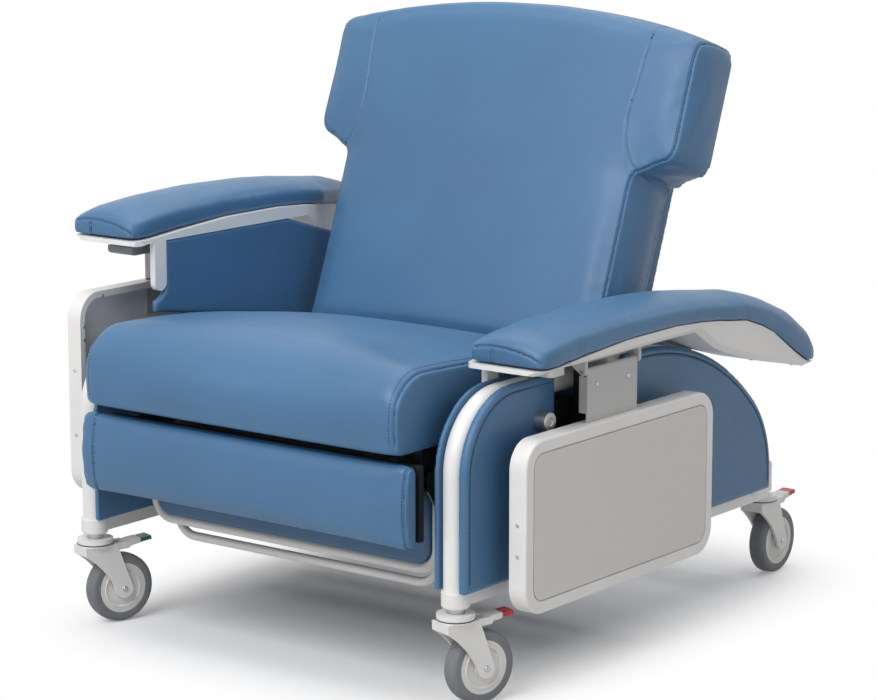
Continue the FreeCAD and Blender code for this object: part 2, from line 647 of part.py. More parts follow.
def fork():
    """A moulded swivel fork: a round cap, two legs to the axle, and lugs for the brake pedal."""
    body = new_body("fork")
    eye_z = "wheel_r"
    head_z = "cap_top - cap_h"
    leg = [("-cap_r + 1", head_z), ("-cap_r + 2", f"{head_z} - 16"),
           ((f"trail * 0.18", "wheel_r + 34"), ("trail - fork_eye * diag", f"{eye_z} - fork_eye * diag")),
           (("trail + fork_eye * 0.3827", f"{eye_z} - fork_eye * 0.9239"), ("trail + fork_eye", eye_z)),
           ("cap_r", head_z)]
    add_slab(body, "legs", "YZ", leg, "-fork_w / 2", "fork_w / 2")
    cut_slab(body, "wheel_slot", "YZ",
             rectangle("-2 * cap_r", "trail + 2 * wheel_r", "-1", "2 * wheel_r + 6"),
             "-fork_w / 2 + fork_leg", "fork_w / 2 - fork_leg")
    add_rod(body, "cap", "XY", ("0", "0"), "cap_r", head_z, "cap_top")
    add_rod(body, "axle", "YZ", ("trail", eye_z), "axle_r", "-fork_w / 2 + 1", "fork_w / 2 - 1")
    lug = [("cap_r - 10", "pedal_pin_z - 7"), ("pedal_pin_y", "pedal_pin_z - 6"),
           (("pedal_pin_y + 6", "pedal_pin_z"), ("pedal_pin_y", "pedal_pin_z + 6")),
           ("cap_r - 10", "pedal_pin_z + 6")]
    for side, sign in (("left", ""), ("right", "-")):
        inner = "pedal_w / 2 + fit_gap"
        limits = (inner, f"{inner} + lug_t") if sign == "" else (f"-({inner}) - lug_t", f"-({inner})")
        add_slab(body, side + "_lug", "YZ", lug, *limits)
    add_rod(body, "pedal_pin", "YZ", ("pedal_pin_y", "pedal_pin_z"), "pedal_pin_r",
            "-pedal_w / 2 - 2", "pedal_w / 2 + 2")
    cut_slab(body, "swivel_bore", "XY", (("0", "0"), "pivot_r + run_gap"),
             "cap_top - cap_h - 9 - fit_gap", "cap_top + 1")
    return body


def pedal():
    """A brake pedal: a barrel on the fork's pin with a rising tread behind it."""
    body = slab("pedal", "YZ",
                [("pedal_pin_y - 4.5", "pedal_pin_z"),
                 (("pedal_pin_y - 3.2", "pedal_pin_z - 3.2"), ("pedal_pin_y", "pedal_pin_z - 4.5")),
                 ("pedal_pin_y + 10", "pedal_pin_z - 2"),
                 ("pedal_pin_y + pedal_reach", "pedal_pin_z + pedal_rise"),
                 ("pedal_pin_y + pedal_reach - 2", "pedal_pin_z + pedal_rise + pedal_t"),
                 ("pedal_pin_y + 6", "pedal_pin_z + 6"), ("pedal_pin_y", "pedal_pin_z + 4.5"),
                 (("pedal_pin_y - 3.2", "pedal_pin_z + 3.2"), ("pedal_pin_y - 4.5", "pedal_pin_z"))],
                "-pedal_w / 2", "pedal_w / 2",
                holes=[(("pedal_pin_y", "pedal_pin_z"), "pedal_pin_r + run_gap")])
    return body


def hub():
    """A wheel hub turned about its axle, dished on both faces."""
    half = "wheel_w / 2 - 1"
    return turned("hub", [("axle_r + run_gap", f"-({half})"), ("15", f"-({half})"), ("17", f"-({half}) + 2.5"),
                          ("33", f"-({half}) + 2.5"), ("35", f"-({half})"), ("hub_r", f"-({half})"),
                          ("hub_r", half), ("35", half), ("33", f"{half} - 2.5"), ("17", f"{half} - 2.5"),
                          ("15", half), ("axle_r + run_gap", half)])


def tyre():
    """A tyre turned about its axle, with rounded shoulders and a crowned tread."""
    half = "wheel_w / 2"
    shoulder = "wheel_r - 9"
    return turned("tyre", [("hub_r", f"-({half}) + 1"), ("hub_r + 2", f"-({half})"), (shoulder, f"-({half})"),
                           (("wheel_r - 2.6", f"-({half}) * 0.82"), ("wheel_r - 0.6", f"-({half}) * 0.4")),
                           (("wheel_r", "0"), ("wheel_r - 0.6", f"({half}) * 0.4")),
                           (("wheel_r - 2.6", f"({half}) * 0.82"), (shoulder, half)),
                           ("hub_r + 2", half), ("hub_r", f"{half} - 1")])


def caster(name, x, y, swivel):
    """One caster's four pieces, copied to its stem at its swivel angle."""
    turn = Rotation(Vector(0, 0, 1), number(swivel))
    spot = Placement(Vector(number(x), number(y) + number("front_y"), 0), turn)
    axle = Placement(Vector(0, number("trail"), number("wheel_r")), Rotation(Vector(0, 1, 0), 90))
    for piece in CASTER_PIECES:
        copy = feature(f"{name}_caster_{piece.Name}", piece.Shape)
        own = axle if piece.Name in ("hub", "tyre") else Placement()
        copy.Placement = spot.multiply(own)
        keep(copy.Name, copy, rests=False)


def seat_frame():
    """The welded seat frame: rails, slats, uprights on two cross tubes, and the recline pivot plates."""
    rail = ("seat_rail_z", "seat_z - fit_gap")
    pieces = []
    for side, sign in (("left", 1), ("right", -1)):
        x = across(sign, "seat_rail_x", "seat_rail_x + seat_rail_w")
        pieces.append(box(side + "_seat_rail", x, ("seat_rail_front", "seat_rail_rear"), rail))
        for name, y in (("front", "front_leg_y"), ("rear", "rear_leg_seat_y")):
            pieces.append(box(f"{side}_{name}_upright", x, (y, f"{y} + cross_w"), ("rail_top - 1", "seat_rail_z + 1")))
        plate = slab(side + "_pivot_plate", "YZ",
                     [("back_pivot_y - 75", "seat_rail_z"), ("back_pivot_y", "seat_rail_z"),
                      ("back_pivot_y + eye_r", "back_pivot_z"),
                      (("back_pivot_y", "back_pivot_z + eye_r"), ("back_pivot_y - eye_r", "back_pivot_z")),
                      ("back_pivot_y - 75", "seat_rail_z + 24")],
                     *across(sign, "back_lug_x - fit_gap - pivot_plate_t", "back_lug_x - fit_gap"),
                     holes=[(("back_pivot_y", "back_pivot_z"), "pivot_bolt_r")])
        pieces.append(plate)
    across_rails = ("-seat_rail_x - 1", "seat_rail_x + 1")
    for name, y in (("front", "front_leg_y"), ("rear", "rear_leg_seat_y")):
        pieces.append(box(name + "_cross_tube", ("-rail_x + fit_gap", "rail_x - fit_gap"), (y, f"{y} + cross_w"),
                          ("rail_z", "rail_top")))
    for number_of, y in enumerate(("seat_rail_front + 40", "front_leg_y - 20", "front_leg_y + 110"), start=1):
        pieces.append(box(f"slat_{number_of}", across_rails, (y, f"{y} + slat_w"),
                          ("seat_z - fit_gap - slat_h", "seat_z - fit_gap")))
    pieces.append(box("pivot_bar", across_rails, ("back_pivot_y - 75", "back_pivot_y - 50"),
                      ("seat_rail_z", "seat_rail_z + 24")))
    skirt = ("skirt_y", "skirt_y + skirt_t")
    half = "slide_x - skirt_gap"
    pieces.append(box("skirt", (f"-({half})", half), skirt, ("skirt_z", "seat_z - fit_gap - slat_h + 1")))
    for side, sign in (("left", 1), ("right", -1)):
        x = across(sign, "seat_rail_x + seat_rail_w - 1", "skirt_half")
        pieces.append(box(side + "_skirt", x, skirt, rail))
    return joined("seat_frame", pieces)


def seat_section(x, drop, draw_in):
    """The seat cushion's outline at one place across it, lower by drop and drawn in at the front."""
    def at(y, z):
        return Vector(x, number(y), number(z))
    front = f"seat_front + {draw_in}"
    nose_top = f"seat_crest - {drop}"
    rear_top = f"seat_rear_top - {drop} * 0.6"
    face_z = "seat_z + 0.62 * (seat_crest - seat_z)"
    bulge = f"back_crown * (1 - ({x} / wing_half)^2)"
    clear = f"({bulge} + seat_back_gap)"
    rear_y = f"back_foot_y + (seat_rear_top - back_foot_z) * tan(back_lean * 1deg) - {clear}"
    foot_y = f"back_foot_y - (back_foot_z - seat_z) * tan(back_lean * 1deg) - {clear}"
    steps = [at(f"{front} + 14", "seat_z"),
             (at(f"{front} + 3", "seat_z + 5"), at(front, "seat_z + 20")),
             (at(f"{front} - 3", "seat_z + 0.36 * (seat_crest - seat_z)"), at(f"{front} + 1", f"{face_z} - {drop} * 0.5")),
             (at(f"{front} + 22", f"{nose_top} - 20"), at(f"{front} + 72", f"{nose_top} - 1")),
             (at(f"{front} + 235", f"{nose_top} - 8"), at(rear_y, rear_top))]
    return line_arc_wire(at(foot_y, "seat_z"), steps)


def seat_cushion():
    """The crowned seat cushion with its drawn-in ends, lofted across the chair."""
    half = number("seat_half")
    crown = "seat_crown"
    shares = ((1, 1, 1), (0.965, 0.62, 0.4), (0.88, 0.34, 0.1), (0.68, 0.13, 0.02), (0.36, 0.03, 0))
    stations = [(-half * x, f"{crown} * {drop}", f"seat_draw * {pull}") for x, drop, pull in shares]
    stations.append((0, "0", "0"))
    stations += [(-x, drop, pull) for x, drop, pull in reversed(stations[:-1])]
    wires = [seat_section(*station) for station in stations]
    return feature("seat_cushion", Part.makeLoft(wires, True))


def lean(piece):
    """Sets a piece of the back, drawn upright with its face on XZ, at the back's lean."""
    turn = Rotation(Vector(1, 0, 0), -number("back_lean"))
    piece.Placement = Placement(Vector(0, number("back_foot_y + front_y"), number("back_foot_z")), turn)
    return piece


def back_outline(spread, rise):
    """The back's T-shaped outline in (across, up the slope), spread at its sides and raised at its top."""
    k = "(1 - diag)"
    body = f"(back_half + {spread} * 0.4)"
    wing = f"(wing_half + {spread})"
    low = "(wing_low + wing_rise)"
    top = f"(wing_top + {rise})"
    half = [((body, "back_low"), None),
            ((body, "wing_low - notch_r"), None),
            ((f"{body} + notch_r", "wing_low"), (f"{body} + notch_r * {k}", f"wing_low - notch_r * {k}")),
            ((f"{wing} - wing_corner", low), None),
            ((wing, f"{low} + wing_corner"), (f"{wing} - wing_corner * {k}", f"{low} + wing_corner * {k}")),
            ((wing, f"{top} - wing_top_corner"), None),
            ((f"{wing} - wing_top_corner", top),
             (f"{wing} - wing_top_corner * {k}", f"{top} - wing_top_corner * {k}"))]
    path = [(middle, end) if middle else end for end, middle in half]

    def other_side(pair):
        return (f"-({pair[0]})", pair[1])
    path.append((("0", f"back_top + {rise}"), other_side(half[-1][0])))
    for (end, _), (_, middle) in zip(reversed(half[:-1]), reversed(half)):
        path.append((other_side(middle), other_side(end)) if middle else other_side(end))
    return path


def back_cushion():
    """The winged back cushion: lofted from its front seam to its rear with full sides, then cut to a face
    that bulges across."""
    body = new_body("back_cushion")
    sections = []
    places = (("front", "-back_crown - 1", "0", "0"), ("middle", "back_t / 2", "side_bulge", "rear_rise * 0.7"),
              ("rear", "back_t", "side_bulge * 0.6", "rear_rise"))
    for name, depth, spread, rise in places:
        sketch = new_sketch(body, name + "_outline", "XZ", f"-({depth})")
        draw(sketch, back_outline(spread, rise))
        sections.append(sketch)
    loft = body.newObject("PartDesign::AdditiveLoft", "back_loft")
    loft.Profile = sections[0]
    loft.Sections = sections[1:]
    doc.recompute()
    wide = "wing_half + 2 * side_bulge"
    cut_slab(body, "bulge", "XY",
             [(f"-({wide})", "-back_t"), (wide, "-back_t"), (wide, "0"),
              (("0", "-back_crown"), (f"-({wide})", "0"))],
             "back_low - 1", "back_top + 2 * rear_rise")
    deepest = number("back_t / 3")
    round_edges(body, "front_edge", "back_edge_r", lambda e: e.BoundBox.YMax < deepest)
    return body


def back_cover():
    """The shell that closes the back behind its frame, open below for the pivot lugs."""
    body = slab("back_cover", "XZ",
                rounded("-cover_half", "cover_half", "back_low + 4", "cover_top", "cover_corner"),
                "back_t + fit_gap", "back_t + fit_gap + cover_t")
    cut_slab(body, "hollow", "XZ",
             rectangle("-cover_half + cover_wall", "cover_half - cover_wall", "back_low - 1", "cover_top - cover_wall"),
             "back_t", "back_t + fit_gap + cover_t - cover_wall")
    return body


def back_frame():
    """The back's welded frame: two bars, two ties and the lugs on the recline bolts."""
    depth = ("back_t + 2 * fit_gap", "back_t + 2 * fit_gap + back_bar_t")
    turn = number("back_lean")
    reach = number("back_pivot_y - back_foot_y")
    fall = number("back_pivot_z - back_foot_z")
    sine, cosine = math.sin(math.radians(turn)), math.cos(math.radians(turn))
    eye_n = reach * cosine - fall * sine
    eye_s = reach * sine + fall * cosine
    pieces = []
    for side, sign in (("left", 1), ("right", -1)):
        x = across(sign, "back_bar_x", "back_bar_x + back_bar_w")
        pieces.append(box(side + "_back_bar", x, depth, ("back_low + 6", "cover_top - cover_wall - 12")))
        lug = slab(side + "_back_lug", "YZ",
                   [(depth[0], "70"), (depth[0], "back_low - 8"), (f"{eye_n} + eye_r * 0.5", f"{eye_s} + eye_r * 0.866"),
                    ((f"{eye_n} - eye_r", eye_s), (f"{eye_n} + eye_r * 0.5", f"{eye_s} - eye_r * 0.866")),
                    (depth[1], "back_low - 20"), (depth[1], "70")],
                   *across(sign, "back_lug_x", "back_bar_x + 1"), holes=[((eye_n, eye_s), "pivot_bolt_r + run_gap")])
        pieces.append(lug)
    for name, low in (("lower_tie", "40"), ("upper_tie", "cover_top - 80")):
        pieces.append(box(name, ("-back_bar_x - 1", "back_bar_x + 1"), depth, (low, f"{low} + 25")))
    return joined("back_frame", pieces)


def pivot_bolts():
    """The pair of recline bolts, each with a round head."""
    bolt = turned("pivot_bolt", [("0", "0"), ("pivot_bolt_r * 1.7", "0"), ("pivot_bolt_r * 1.7", "5"),
                                 ("pivot_bolt_r", "5"), ("pivot_bolt_r", "5 + 2 * pivot_plate_t + 2"),
                                 ("0", "5 + 2 * pivot_plate_t + 2")])
    start = number("back_lug_x - fit_gap - pivot_plate_t - 5")
    spot = Vector(start, number("back_pivot_y"), number("back_pivot_z"))
    left = bolt.Shape.copy()
    left.Placement = Placement(spot, Rotation(Vector(0, 1, 0), 90))
    return feature("back_pivot_bolts", Part.makeCompound([left, left.mirror(Vector(0, 0, 0), Vector(1, 0, 0))]))


def legrest_slide():
    """The slide bars that glide in the seat rails, with a tie and the leg rest's pins."""
    z = ("leg_pivot_z - slide_bar_h / 2", "leg_pivot_z + slide_bar_h / 2")
    pieces = []
    for side, sign in (("left", 1), ("right", -1)):
        bar = slab(side + "_slide_bar", "YZ",
                   [("0", z[0]), ("slide_bar_rear", z[0]), ("slide_bar_rear", z[1]), ("0", z[1]),
                    (("-slide_bar_h / 2", "leg_pivot_z"), ("0", z[0]))],
                   *across(sign, "slide_x", "slide_x + slide_bar_w"))
        add_rod(bar, side + "_leg_pin", "YZ", ("0", "leg_pivot_z"), "leg_pin_r",
                *across(sign, "slide_x - leg_lug_t - 3", "slide_x + 1"))
        pieces.append(bar)
    pieces.append(box("slide_tie", ("-slide_x - 1", "slide_x + 1"), ("slide_bar_rear - 30", "slide_bar_rear - 5"),
                      ("leg_pivot_z - 12", "leg_pivot_z + 12")))
    return joined("legrest_slide_frame", pieces)


def legrest_board():
    """The board behind the leg rest pad, with the lugs that hang on the slide bars' pins."""
    body = slab("legrest_board", "XZ",
                rectangle("-pad_half + board_inset", "pad_half - board_inset", "pad_low + board_inset",
                          "pad_high - board_inset"),
                "board_y", "board_y + board_t")
    lug = [("board_y + board_t - 1", "leg_pivot_z - leg_eye_r - 14"), ("0", "leg_pivot_z - leg_eye_r"),
           (("leg_eye_r", "leg_pivot_z"), ("0", "leg_pivot_z + leg_eye_r")),
           ("board_y + board_t - 1", "pad_high - board_inset")]
    inner = "slide_x - fit_gap - leg_lug_t"
    hole = [(("0", "leg_pivot_z"), "leg_pin_r + run_gap")]
    add_slab(body, "left_lug", "YZ", lug, inner, "slide_x - fit_gap", hole)
    add_slab(body, "right_lug", "YZ", lug, "-(slide_x - fit_gap)", f"-({inner})", hole)
    return body


def legrest_pad():
    """The leg rest pad with a bulging face and drawn-in ends, lofted across the chair."""
    half = number("pad_half")

    def section(x, draw_in):
        def at(y, z):
            return Vector(x, number(y), number(z))
        front = f"pad_front + {draw_in}"
        rear = f"pad_front + pad_t - 4 * {draw_in}"
        low, high = f"pad_low + {draw_in}", f"pad_high - {draw_in}"
        middle = "(pad_low + pad_high) / 2"
        steps = [(at(f"{front} + 4", f"{low} + 4"), at(front, f"{low} + 14")),
                 (at(f"{front} - pad_crown", middle), at(front, f"{high} - 14")),
                 (at(f"{front} + 4", f"{high} - 4"), at(f"{front} + 14", high)),
                 at(rear, f"{high} - pad_fall"), at(rear, low)]
        return line_arc_wire(at(f"{front} + 14", low), steps)
    stations = ((-half, 5), (-half + 16, 1), (-half + 37, 0), (half - 37, 0), (half - 16, 1), (half, 5))
    return feature("legrest_pad", Part.makeLoft([section(*station) for station in stations], True, True))


def foot_board():
    """The board behind the foot panel, with struts to the leg rest and sleeves for the foot loop."""
    board = ("foot_board_y", "foot_board_y + foot_t")
    body = slab("foot_board", "XZ",
                rounded("-foot_half", "foot_half", "foot_low", "foot_high + fit_gap + strut_h", "foot_corner"),
                *board)
    for side, sign in (("left", 1), ("right", -1)):
        add_slab(body, side + "_strut", "YZ",
                 rectangle("board_y + board_t + fit_gap", f"{board[0]} + 1", "foot_high + fit_gap",
                           "foot_high + fit_gap + strut_h"), *across(sign, "strut_x", "strut_x + strut_w"))
        wide = "loop_r + sleeve_wall"
        x = across(sign, f"loop_half - {wide}", f"loop_half + {wide}")
        add_slab(body, side + "_sleeve", "XY", rectangle(*x, f"{board[1]} - 1", f"loop_y + {wide}"),
                 "sleeve_z", "sleeve_z + sleeve_h")
        cut_slab(body, side + "_sleeve_bore", "XY",
                 ((across(sign, "loop_half", "loop_half")[0], "loop_y"), "loop_r + run_gap"),
                 "sleeve_z - 1", "sleeve_z + sleeve_h + 1")
    return body


def foot_panel():
    """The upholstered foot panel in front of its board."""
    body = slab("foot_panel", "XZ",
                rounded("-foot_half", "foot_half", "foot_low", "foot_high", "foot_corner"),
                "foot_y", "foot_y + foot_t")
    front = number("foot_y")
    round_edges(body, "soft_edge", "foot_t / 3", lambda e: level(e, 1, front))
    return body


def bent_loop(name, half, low, high, corner, y, radius, bore):
    """A tube bent to a U in an upright plane: two legs and a lower run."""
    body = new_body(name)
    k = f"({corner}) * (1 - diag)"
    spine = new_sketch(body, name + "_path", "XZ", f"-({y})")
    draw(spine, [(f"-({half})", high), (f"-({half})", f"{low} + {corner}"),
                 ((f"-({half}) + {k}", f"{low} + {k}"), (f"-({half}) + {corner}", low)),
                 (f"{half} - ({corner})", low),
                 ((f"{half} - {k}", f"{low} + {k}"), (half, f"{low} + {corner}")), (half, high)], closed=False)
    section = new_sketch(body, name + "_section", "XY", high)
    draw_circle(section, (f"-({half})", y), radius)
    if bore:
        draw_circle(section, (f"-({half})", y), bore)
    add_pipe(body, name + "_tube", spine, section)
    return body


def arm_stations():
    """Places along a dropped arm: Y, inner and outer edge, pad underside, pad thickness and shell underside."""
    level_z = "arm_z"
    arch = "arm_arch"
    return (("76", "arm_in + 14", "arm_out - 14", level_z, "arm_t * 0.68", "shell_z - 3"),
            ("82", "arm_in + 6", "arm_out - 6", level_z, "arm_t * 0.86", "shell_z - 4"),
            ("96", "arm_in + 1.5", "arm_out - 1.5", level_z, "arm_t * 1.0", "shell_z - 4"),
            ("122", "arm_in", "arm_out", f"{level_z} + {arch} * 0.05", "arm_t * 1.1", "shell_z"),
            ("200", "arm_in", "arm_out", f"{level_z} + {arch} * 0.42", "arm_t * 1.1", "shell_z"),
            ("330", "arm_in", "arm_out", f"{level_z} + {arch} * 0.94", "arm_t", "shell_z"),
            ("480", "arm_in", "arm_out", f"{level_z} + {arch}", "arm_t * 0.92", "shell_z"),
            ("560", "arm_in", "arm_out", f"{level_z} + {arch} * 0.75", "arm_t * 0.9", "shell_z"),
            ("620", "arm_in + 4", "arm_out", f"{level_z} + {arch} * 0.39", "arm_t * 0.9", "shell_z - 36"),
            ("655", "arm_in + 14", "arm_out", f"{level_z} + {arch} * 0.1", "arm_t * 0.92", "shell_z - 50"),
            ("710", "arm_in + 30", "arm_out", f"{level_z} - 5", "arm_t * 0.96", "shell_z - 66"),
            ("765", "arm_in + 44", "arm_out", f"{level_z} - 23", "arm_t * 1.06", "shell_z - 82"),
            ("805", "arm_in + 46", "arm_out - 1", f"{level_z} - 40", "arm_t * 1.16", "shell_z - 91"),
            ("885", "arm_in + 48", "arm_out - 3", f"{level_z} - 89", "arm_t * 1.54", "shell_z - 108"),
            ("942", "arm_in + 51", "arm_out - 7", f"{level_z} - 118", "arm_t * 1.42", "shell_z - 121"),
            ("966", "arm_in + 57", "arm_out - 13", f"{level_z} - 119", "arm_t * 0.8", "shell_z - 121"))


def arm_pad():
    """The crowned arm pad, arched along its length and falling away at the rear, lofted through stations."""
    wires = []
    for y, x_in, x_out, z, thick, _ in arm_stations():
        def at(x, height):
            return Vector(number(x), number(y), number(height))
        middle = f"(({x_in}) + ({x_out})) / 2"
        side = f"({thick}) * 0.58"
        wires.append(line_arc_wire(at(x_in, z), [
            at(x_out, z), (at(f"{x_out} + 1.5", f"{z} + {side} * 0.5"), at(x_out, f"{z} + {side}")),
            (at(middle, f"{z} + {thick}"), at(x_in, f"{z} + {side}")),
            (at(f"{x_in} - 1.5", f"{z} + {side} * 0.5"), at(x_in, z))]))
    return feature("arm_pad", Part.makeLoft(wires, True, True))


def arm_shell():
    """The moulded shell under an arm pad: a tray that deepens to a closed gusset at the rear, with the
    end leg and the front boss."""
    wires = []
    for y, x_in, x_out, z, _, low in arm_stations():
        def at(x, height):
            return Vector(number(x), number(y), number(height))
        inner = f"shell_in + ({x_in}) - arm_in" if float(y) <= 560 else f"{x_in} + 2"
        outer = f"shell_out + ({x_out}) - arm_out"
        top = f"{z} - fit_gap"
        lip = f"min({low} + shell_lip; {top} - 1)"
        wires.append(line_arc_wire(at(inner, top), [at(inner, low), at(f"{outer} - 14", low), at(outer, lip),
                                                    at(outer, top)]))
    tray = feature("shell_tray", Part.makeLoft(wires, True, True))
    leg = slab("end_leg", "YZ",
               [("leg_front", "shell_z + 1"), ("leg_front", "leg_low + 15"),
                (("(leg_front + leg_rear) / 2", "leg_low"), ("leg_rear", "leg_low + 15")), ("leg_rear", "shell_z + 1")],
               "shell_in", "shell_in + inner_t")
    boss = slab("boss", "XY", rounded("boss_x - boss_w / 2", "boss_x + boss_w / 2", "boss_front",
                                      "boss_front + boss_len", "10"),
                "shell_z - boss_h", "shell_z + 1")
    return joined("arm_shell", [tray, leg, boss])


def arm_lever():
    """The flat release lever that hangs in front of the right arm's boss and turns about its round rear end."""
    top = "(shell_z - lever_fall)"
    low = f"({top} - lever_t)"
    turn_y = "(boss_front - fit_gap - lever_t / 2)"
    return slab("arm_lever", "YZ",
                [(turn_y, top), ("lever_front + 12", top),
                 (("lever_front + 2", f"{top} - 2"), ("lever_front", f"{top} - lever_t / 2")),
                 (("lever_front + 3", f"{low} + 1"), ("lever_front + 14", low)), (turn_y, low),
                 ((f"{turn_y} + lever_t / 2", f"{top} - lever_t / 2"), (turn_y, top))],
                "boss_x - boss_w / 2", "boss_x + boss_w / 2")


def arm_carriage():
    """The arm's casting: the slide post, the head under the shell and the ears of the tray hinge."""
    post = ("post_x", "post_x + post_t")
    pieces = [box("slide_post", post, ("post_y", "post_y + post_w"), ("post_low", "head_z")),
              box("carriage_head", ("head_in", "head_out"), ("bracket_front - hinge_gap - hinge_ear",
                  "bracket_rear + hinge_gap + hinge_ear"), ("head_z - head_t", "head_z"))]
    round_z = "ear_r * diag"
    ear = [("head_out - 12", "head_z"), ("hinge_x + ear_r", "head_z"), ("hinge_x + ear_r", "hinge_z"),
           ((f"hinge_x + {round_z}", f"hinge_z - {round_z}"), ("hinge_x", "hinge_z - ear_r")),
           ("head_out - 12", "head_z - head_t")]
    ends = (("front", "bracket_front - hinge_gap - hinge_ear", "bracket_front - hinge_gap"),
            ("rear", "bracket_rear + hinge_gap", "bracket_rear + hinge_gap + hinge_ear"))
    for name, low, high in ends:
        pieces.append(slab(name + "_ear", "XZ", ear, low, high, holes=[(("hinge_x", "hinge_z"), "rod_r")]))
    return joined("arm_carriage", pieces)


def tray_rod():
    """The hinge rod through the ears and the rolled edge of the tray bracket."""
    body = new_body("tray_rod")
    add_rod(body, "rod", "XZ", ("hinge_x", "hinge_z"), "rod_r",
            "bracket_front - hinge_gap - hinge_ear - 2", "bracket_rear + hinge_gap + hinge_ear + 2")
    return body


def tray_bracket():
    """The tray's sheet bracket, rolled round the hinge rod."""
    face = "hinge_x + barrel_r"
    body = slab("tray_bracket", "XZ",
                rectangle(f"{face} - bracket_t", face, "bracket_low", "hinge_z"), "bracket_front", "bracket_rear")
    add_rod(body, "barrel", "XZ", ("hinge_x", "hinge_z"), "barrel_r", "bracket_front", "bracket_rear")
    fold = rectangle(f"{face} - flange_d", face, "tray_top + right_tray_rise + 4", "hinge_z - barrel_r - 4")
    add_slab(body, "front_fold", "XZ", fold, "bracket_front", "bracket_front + bracket_t")
    add_slab(body, "rear_fold", "XZ", fold, "bracket_rear - bracket_t", "bracket_rear")
    cut_slab(body, "barrel_bore", "XZ", (("hinge_x", "hinge_z"), "rod_r + run_gap"),
             "bracket_front - 1", "bracket_rear + 1")
    return body


def tray_frame(name, low, high):
    """A moulded tray: a rim round the panel's recess, hollow behind, slotted for its bracket."""
    y = ("tray_front", "tray_front + tray_len")
    outer = "tray_in + tray_t"
    body = slab(name, "YZ", rounded(*y, low, high, "tray_corner"), "tray_in", outer)
    face = number(outer)
    round_edges(body, name + "_soft_rim", "tray_edge_r", lambda e: level(e, 0, face))

    def inset(by):
        return rounded(f"{y[0]} + {by}", f"{y[1]} - {by}", f"{low} + {by}", f"{high} - {by}",
                       f"tray_corner - {by}")
    cut_slab(body, name + "_recess", "YZ", inset("tray_rim"), f"{outer} - insert_t", f"{outer} + 1")
    cut_slab(body, name + "_hollow", "YZ", inset("tray_wall"), "tray_in - 1", f"{outer} - insert_t - tray_web")
    slot = "hinge_x + barrel_r"
    cut_slab(body, name + "_slot", "XZ",
             rectangle(f"{slot} - bracket_t - fit_gap", f"{slot} + fit_gap", f"{high} - 2 * tray_wall", f"{high} + 1"),
             "bracket_front - fit_gap", "bracket_rear + fit_gap")
    return body


def tray_panel(name, low, high):
    """The flat panel set into a tray's rim with a narrow groove round it."""
    by = "(tray_rim + insert_gap)"
    outer = "tray_in + tray_t"
    return slab(name, "YZ",
                rounded(f"tray_front + {by}", f"tray_front + tray_len - {by}", f"{low} + {by}",
                        f"{high} - {by}", f"tray_corner - {by}"),
                f"{outer} - insert_t", outer)


def arm_guide():
    """The dark guide on the middle rail: a plate, the housing of the slide post and the knob's sleeve."""
    plate = ("plate_x", "plate_x + guide_plate_t")
    body = slab("arm_guide", "YZ", rectangle("plate_front", "notch_rear - fit_gap", "plate_z", "plate_top"), *plate)
    across = ("post_y - guide_wall", "post_y + post_w + guide_wall")
    add_slab(body, "bridge", "XY", rectangle(f"{plate[1]} - 1", "panel_x + 1", *across), "plate_z", "plate_top")
    add_slab(body, "housing", "XY", rectangle("panel_x", "post_x + post_t + guide_wall", *across),
             "guide_z", "guide_top")
    add_rod(body, "knob_sleeve", "YZ", ("knob_y", "knob_z"), "knob_sleeve_r", "plate_x - knob_sleeve_len", plate[1])
    cut_slab(body, "post_slot", "XY",
             rectangle("post_x - fit_gap", "post_x + post_t + fit_gap", "post_y - fit_gap",
                       "post_y + post_w + fit_gap"), "guide_z - 1", "guide_top + 1")
    cut_slab(body, "knob_bore", "YZ", (("knob_y", "knob_z"), "knob_shaft_r + run_gap"),
             "plate_x - knob_sleeve_len - 1", f"{plate[1]} + 1")
    return body


def knob():
    """The arm's lock knob with its shaft, turned, to slide in the guide's sleeve."""
    face = "panel_x + panel_t + fit_gap"
    body = turned("knob", [("0", "plate_x - knob_sleeve_len"), ("knob_shaft_r", "plate_x - knob_sleeve_len"),
                           ("knob_shaft_r", face), ("knob_r", face), ("knob_r", f"{face} + knob_len - 1.5"),
                           ("knob_r - 1.5", f"{face} + knob_len"), ("knob_r * 0.45", f"{face} + knob_len"),
                           ("knob_r * 0.35", f"{face} + knob_len - 1"), ("0", f"{face} + knob_len - 1")])
    piece = feature("arm_knob", body.Shape)
    piece.Placement = Placement(Vector(0, number("knob_y + front_y"), number("knob_z")),
                                Rotation(Vector(0, 1, 0), 90))
    return piece


def arm_inner_panel():
    """The upholstered panel that hangs from the shell's inner edge and closes the gap beside the seat."""
    front = "leg_rear + fit_gap"
    return slab("arm_inner_panel", "YZ",
                [(front, "head_z"), (front, "leg_low + 24"),
                 ((f"{front} - 9", "leg_low - 9"), ("leg_front + 2", "leg_low - 19")),
                 ("leg_front + 2", "inner_low_front"), ("600", "inner_low_rear"), ("inner_rear", "inner_low_rear"),
                 ("inner_rear", "head_z - 75"), ("inner_rear - 260", "head_z")],
                "shell_in", "shell_in + inner_t")


def pair(left_label, piece, rise="0", rests=True):
    """Keeps a left piece and its right twin."""
    left = keep("left_" + left_label, piece, rests)
    doc.recompute()
    mirrored("right_" + left_label, left, rise)


